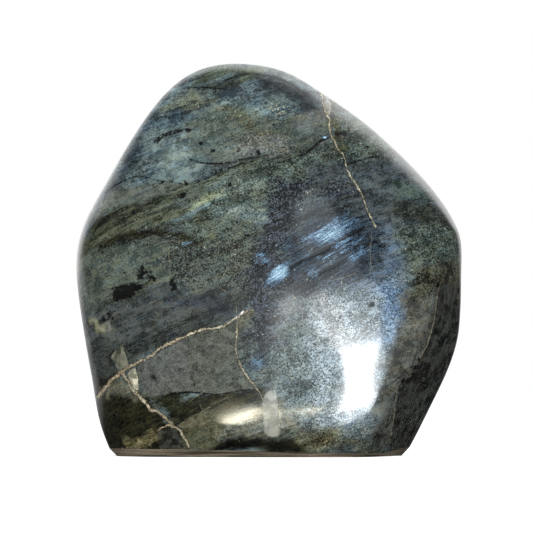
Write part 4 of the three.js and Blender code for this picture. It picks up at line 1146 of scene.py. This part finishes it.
# ---------------------------------------------------------------- camera
scene = bpy.context.scene
scene.view_settings.view_transform = "Standard"
scene.view_settings.look = "None"
scene.view_settings.exposure = 0
scene.view_settings.gamma = 1
PER_PX = 110 / 392  # mm of stone per pixel of the picture
cam = bpy.data.objects.new("camera", bpy.data.cameras.new("camera"))
scene.collection.objects.link(cam)
scene.camera = cam
cam.data.sensor_width = 36
cam.data.lens = 36 * VIEW_DIST / (533 * PER_PX)
cam.data.clip_start, cam.data.clip_end = 0.01, 50
cam.location = Vector((EYE + SHIFT) / 1000)
cam.rotation_euler = (math.radians(90) - TILT, 0, 0)

# ---------------------------------------------------------------- floor and light
me = bpy.data.meshes.new("floor")
me.from_pydata([(-6, -6, 0), (6, -6, 0), (6, 6, 0), (-6, 6, 0)], [], [(0, 1, 2, 3)])
floor = bpy.data.objects.new("floor", me)
scene.collection.objects.link(floor)
fm = bpy.data.materials.new("pale_floor")
fm.use_nodes = True
fb = fm.node_tree.nodes["Principled BSDF"]
fb.inputs["Base Color"].default_value = (0.9, 0.9, 0.9, 1)
fb.inputs["Roughness"].default_value = 0.8
fb.inputs["Specular IOR Level"].default_value = 0.0
fb.inputs["Emission Color"].default_value = (1, 1, 1, 1)
fb.inputs["Emission Strength"].default_value = 0.3
me.materials.append(fm)
floor.visible_glossy = False


def softbox(name, source, way, far, across, up, wide, high, roll, radiance, colour=(1, 1, 1), round_=False):
    """An area light seen from a point of the stone along a unit way; across and up shift it in its own plane."""
    way = Vector(way).normalized()
    e_a = Vector((0, 0, 1)).cross(way).normalized()
    e_e = way.cross(e_a)
    d = bpy.data.lights.new(name, "AREA")
    o = bpy.data.objects.new(name, d)
    scene.collection.objects.link(o)
    o.location = (Vector(np.array(source) + SHIFT) + way * far + e_a * across + e_e * up) / 1000
    r = math.radians(roll)
    x = e_a * math.cos(r) + e_e * math.sin(r)
    y = e_e * math.cos(r) - e_a * math.sin(r)
    z = way  # the light shines along its own -Z
    o.matrix_world = Matrix((x, y, z)).transposed().to_4x4()
    o.location = (Vector(np.array(source) + SHIFT) + way * far + e_a * across + e_e * up) / 1000
    d.shape, d.size, d.size_y = "ELLIPSE" if round_ else "RECTANGLE", wide / 1000, high / 1000
    d.color = colour
    d.energy = radiance * math.pi * wide * high * 1e-6 * (math.pi / 4 if round_ else 1)
    o.visible_camera = False
    return o


# the window beside the camera, mirrored low on the right of the face, and the lamp that leaves the slanting streak
W_FROM, W_WAY = (24.8, -26.5, 22.6), (0.0258, -0.9274, 0.3732)
softbox("window", W_FROM, W_WAY, 1100, 0, -82, 262, 364, -2, 15)
softbox("window_slope", W_FROM, W_WAY, 1095, 52, -98, 285, 395, 10, 7, (0.96, 0.98, 1))
softbox("window_corner", W_FROM, W_WAY, 1094, 196, -222, 190, 340, 8, 7, (0.96, 0.98, 1), True)
softbox("window_sill", W_FROM, W_WAY, 1093, -15, -390, 170, 130, 0, 5.5, (0.94, 0.97, 1), True)
softbox("window_frame", W_FROM, W_WAY, 1090, 50, -152, 480, 600, 0, 5.0, (0.9, 0.96, 1), True)
softbox("window_glow", W_FROM, W_WAY, 1080, 110, -60, 480, 700, 0, 1.6, (0.84, 0.93, 1), True)
softbox("lamp", (-8.9, -25.7, 11.9), (-0.186, -0.9673, 0.1722), 1100, 2, -24, 190, 27, 55.5, 40, (1, 0.93, 0.72), True)
fill = softbox("fill", (0, 0, 50), (-0.35, -0.75, 0.75), 1200, 0, 0, 800, 800, 0, 1.2)
fill.visible_glossy = False
rear = softbox("rear_fill", (0, 0, 50), (0.4, 0.75, 0.55), 1200, 0, 0, 900, 900, 0, 1.3)
rear.visible_glossy = False

TENT_SIDE, TENT_BACK, TENT_BOW, TENT_FROM, TENT_TO = -0.282, 0.8, -0.67, 0.142, 0.442
TENT_LOW, TENT_HIGH, TENT_REAR, TENT_RIGHT = 1.5, 3.2, -1.0, 0.3
SOFT_LOW, SOFT_HIGH = 0.35, 0.9
world = bpy.data.worlds.new("studio")
scene.world = world
world.use_nodes = True
wt = world.node_tree
for n in list(wt.nodes):
    wt.nodes.remove(n)


def wmath(op, a, b=None, c=None):
    n = wt.nodes.new("ShaderNodeMath")
    n.operation = op
    for i, v in enumerate((a, b, c)):
        if v is None:
            continue
        if hasattr(v, "is_linked"):
            wt.links.new(v, n.inputs[i])
        else:
            n.inputs[i].default_value = v
    return n.outputs[0]


def wsmooth(x, a, b):
    n = wt.nodes.new("ShaderNodeMapRange")
    n.interpolation_type = "SMOOTHSTEP"
    wt.links.new(x, n.inputs["Value"])
    n.inputs["From Min"].default_value, n.inputs["From Max"].default_value = a, b
    return n.outputs["Result"]


tc = wt.nodes.new("ShaderNodeTexCoord")
sep = wt.nodes.new("ShaderNodeSeparateXYZ")
wt.links.new(tc.outputs["Generated"], sep.inputs[0])
X, Y, Z = sep.outputs
# What the polish mirrors: a dark room round the camera, a bright white tent above and behind the stone,
# its edge bowed across the top, and a paler panel low on the left.
bow = wmath("MULTIPLY", wmath("MULTIPLY", X, X), TENT_BOW)
edge = wmath("ADD", wmath("MULTIPLY_ADD", X, TENT_SIDE, bow), wmath("MULTIPLY_ADD", Y, TENT_BACK, Z))
tent = wsmooth(edge, TENT_FROM, TENT_TO)
rise = wmath("MULTIPLY_ADD", Y, TENT_REAR, wmath("MULTIPLY_ADD", X, TENT_RIGHT, wmath("MULTIPLY_ADD", Z, TENT_HIGH, TENT_LOW)))
rise = wmath("MAXIMUM", rise, 0.0)
low = wmath("MULTIPLY", wsmooth(wmath("MULTIPLY", X, -1.0), 0.2, 0.5), wsmooth(Y, 0.1, 0.5))
low = wmath("MULTIPLY", low, wsmooth(Z, -0.08, 0.05))
mirrored = wmath("ADD", wmath("MULTIPLY", tent, rise), wmath("MULTIPLY_ADD", low, 1.3, 0.02))
# What lights the stone softly from all round.
soft = wmath("MULTIPLY_ADD", wmath("MAXIMUM", Z, 0.0), SOFT_HIGH, SOFT_LOW)
lp = wt.nodes.new("ShaderNodeLightPath")


def wpick(f, a, b):
    n = wt.nodes.new("ShaderNodeMix")
    n.data_type = "FLOAT"
    for k, v in (("Factor", f), ("A", a), ("B", b)):
        if hasattr(v, "is_linked"):
            wt.links.new(v, n.inputs[k])
        else:
            n.inputs[k].default_value = v
    return n.outputs["Result"]


level = wpick(lp.outputs["Is Camera Ray"], wpick(lp.outputs["Is Glossy Ray"], soft, mirrored), 1.0)
bg = wt.nodes.new("ShaderNodeBackground")
bg.inputs["Color"].default_value = (1, 1, 1, 1)
wt.links.new(level, bg.inputs["Strength"])
wo = wt.nodes.new("ShaderNodeOutputWorld")
wt.links.new(bg.outputs[0], wo.inputs["Surface"])
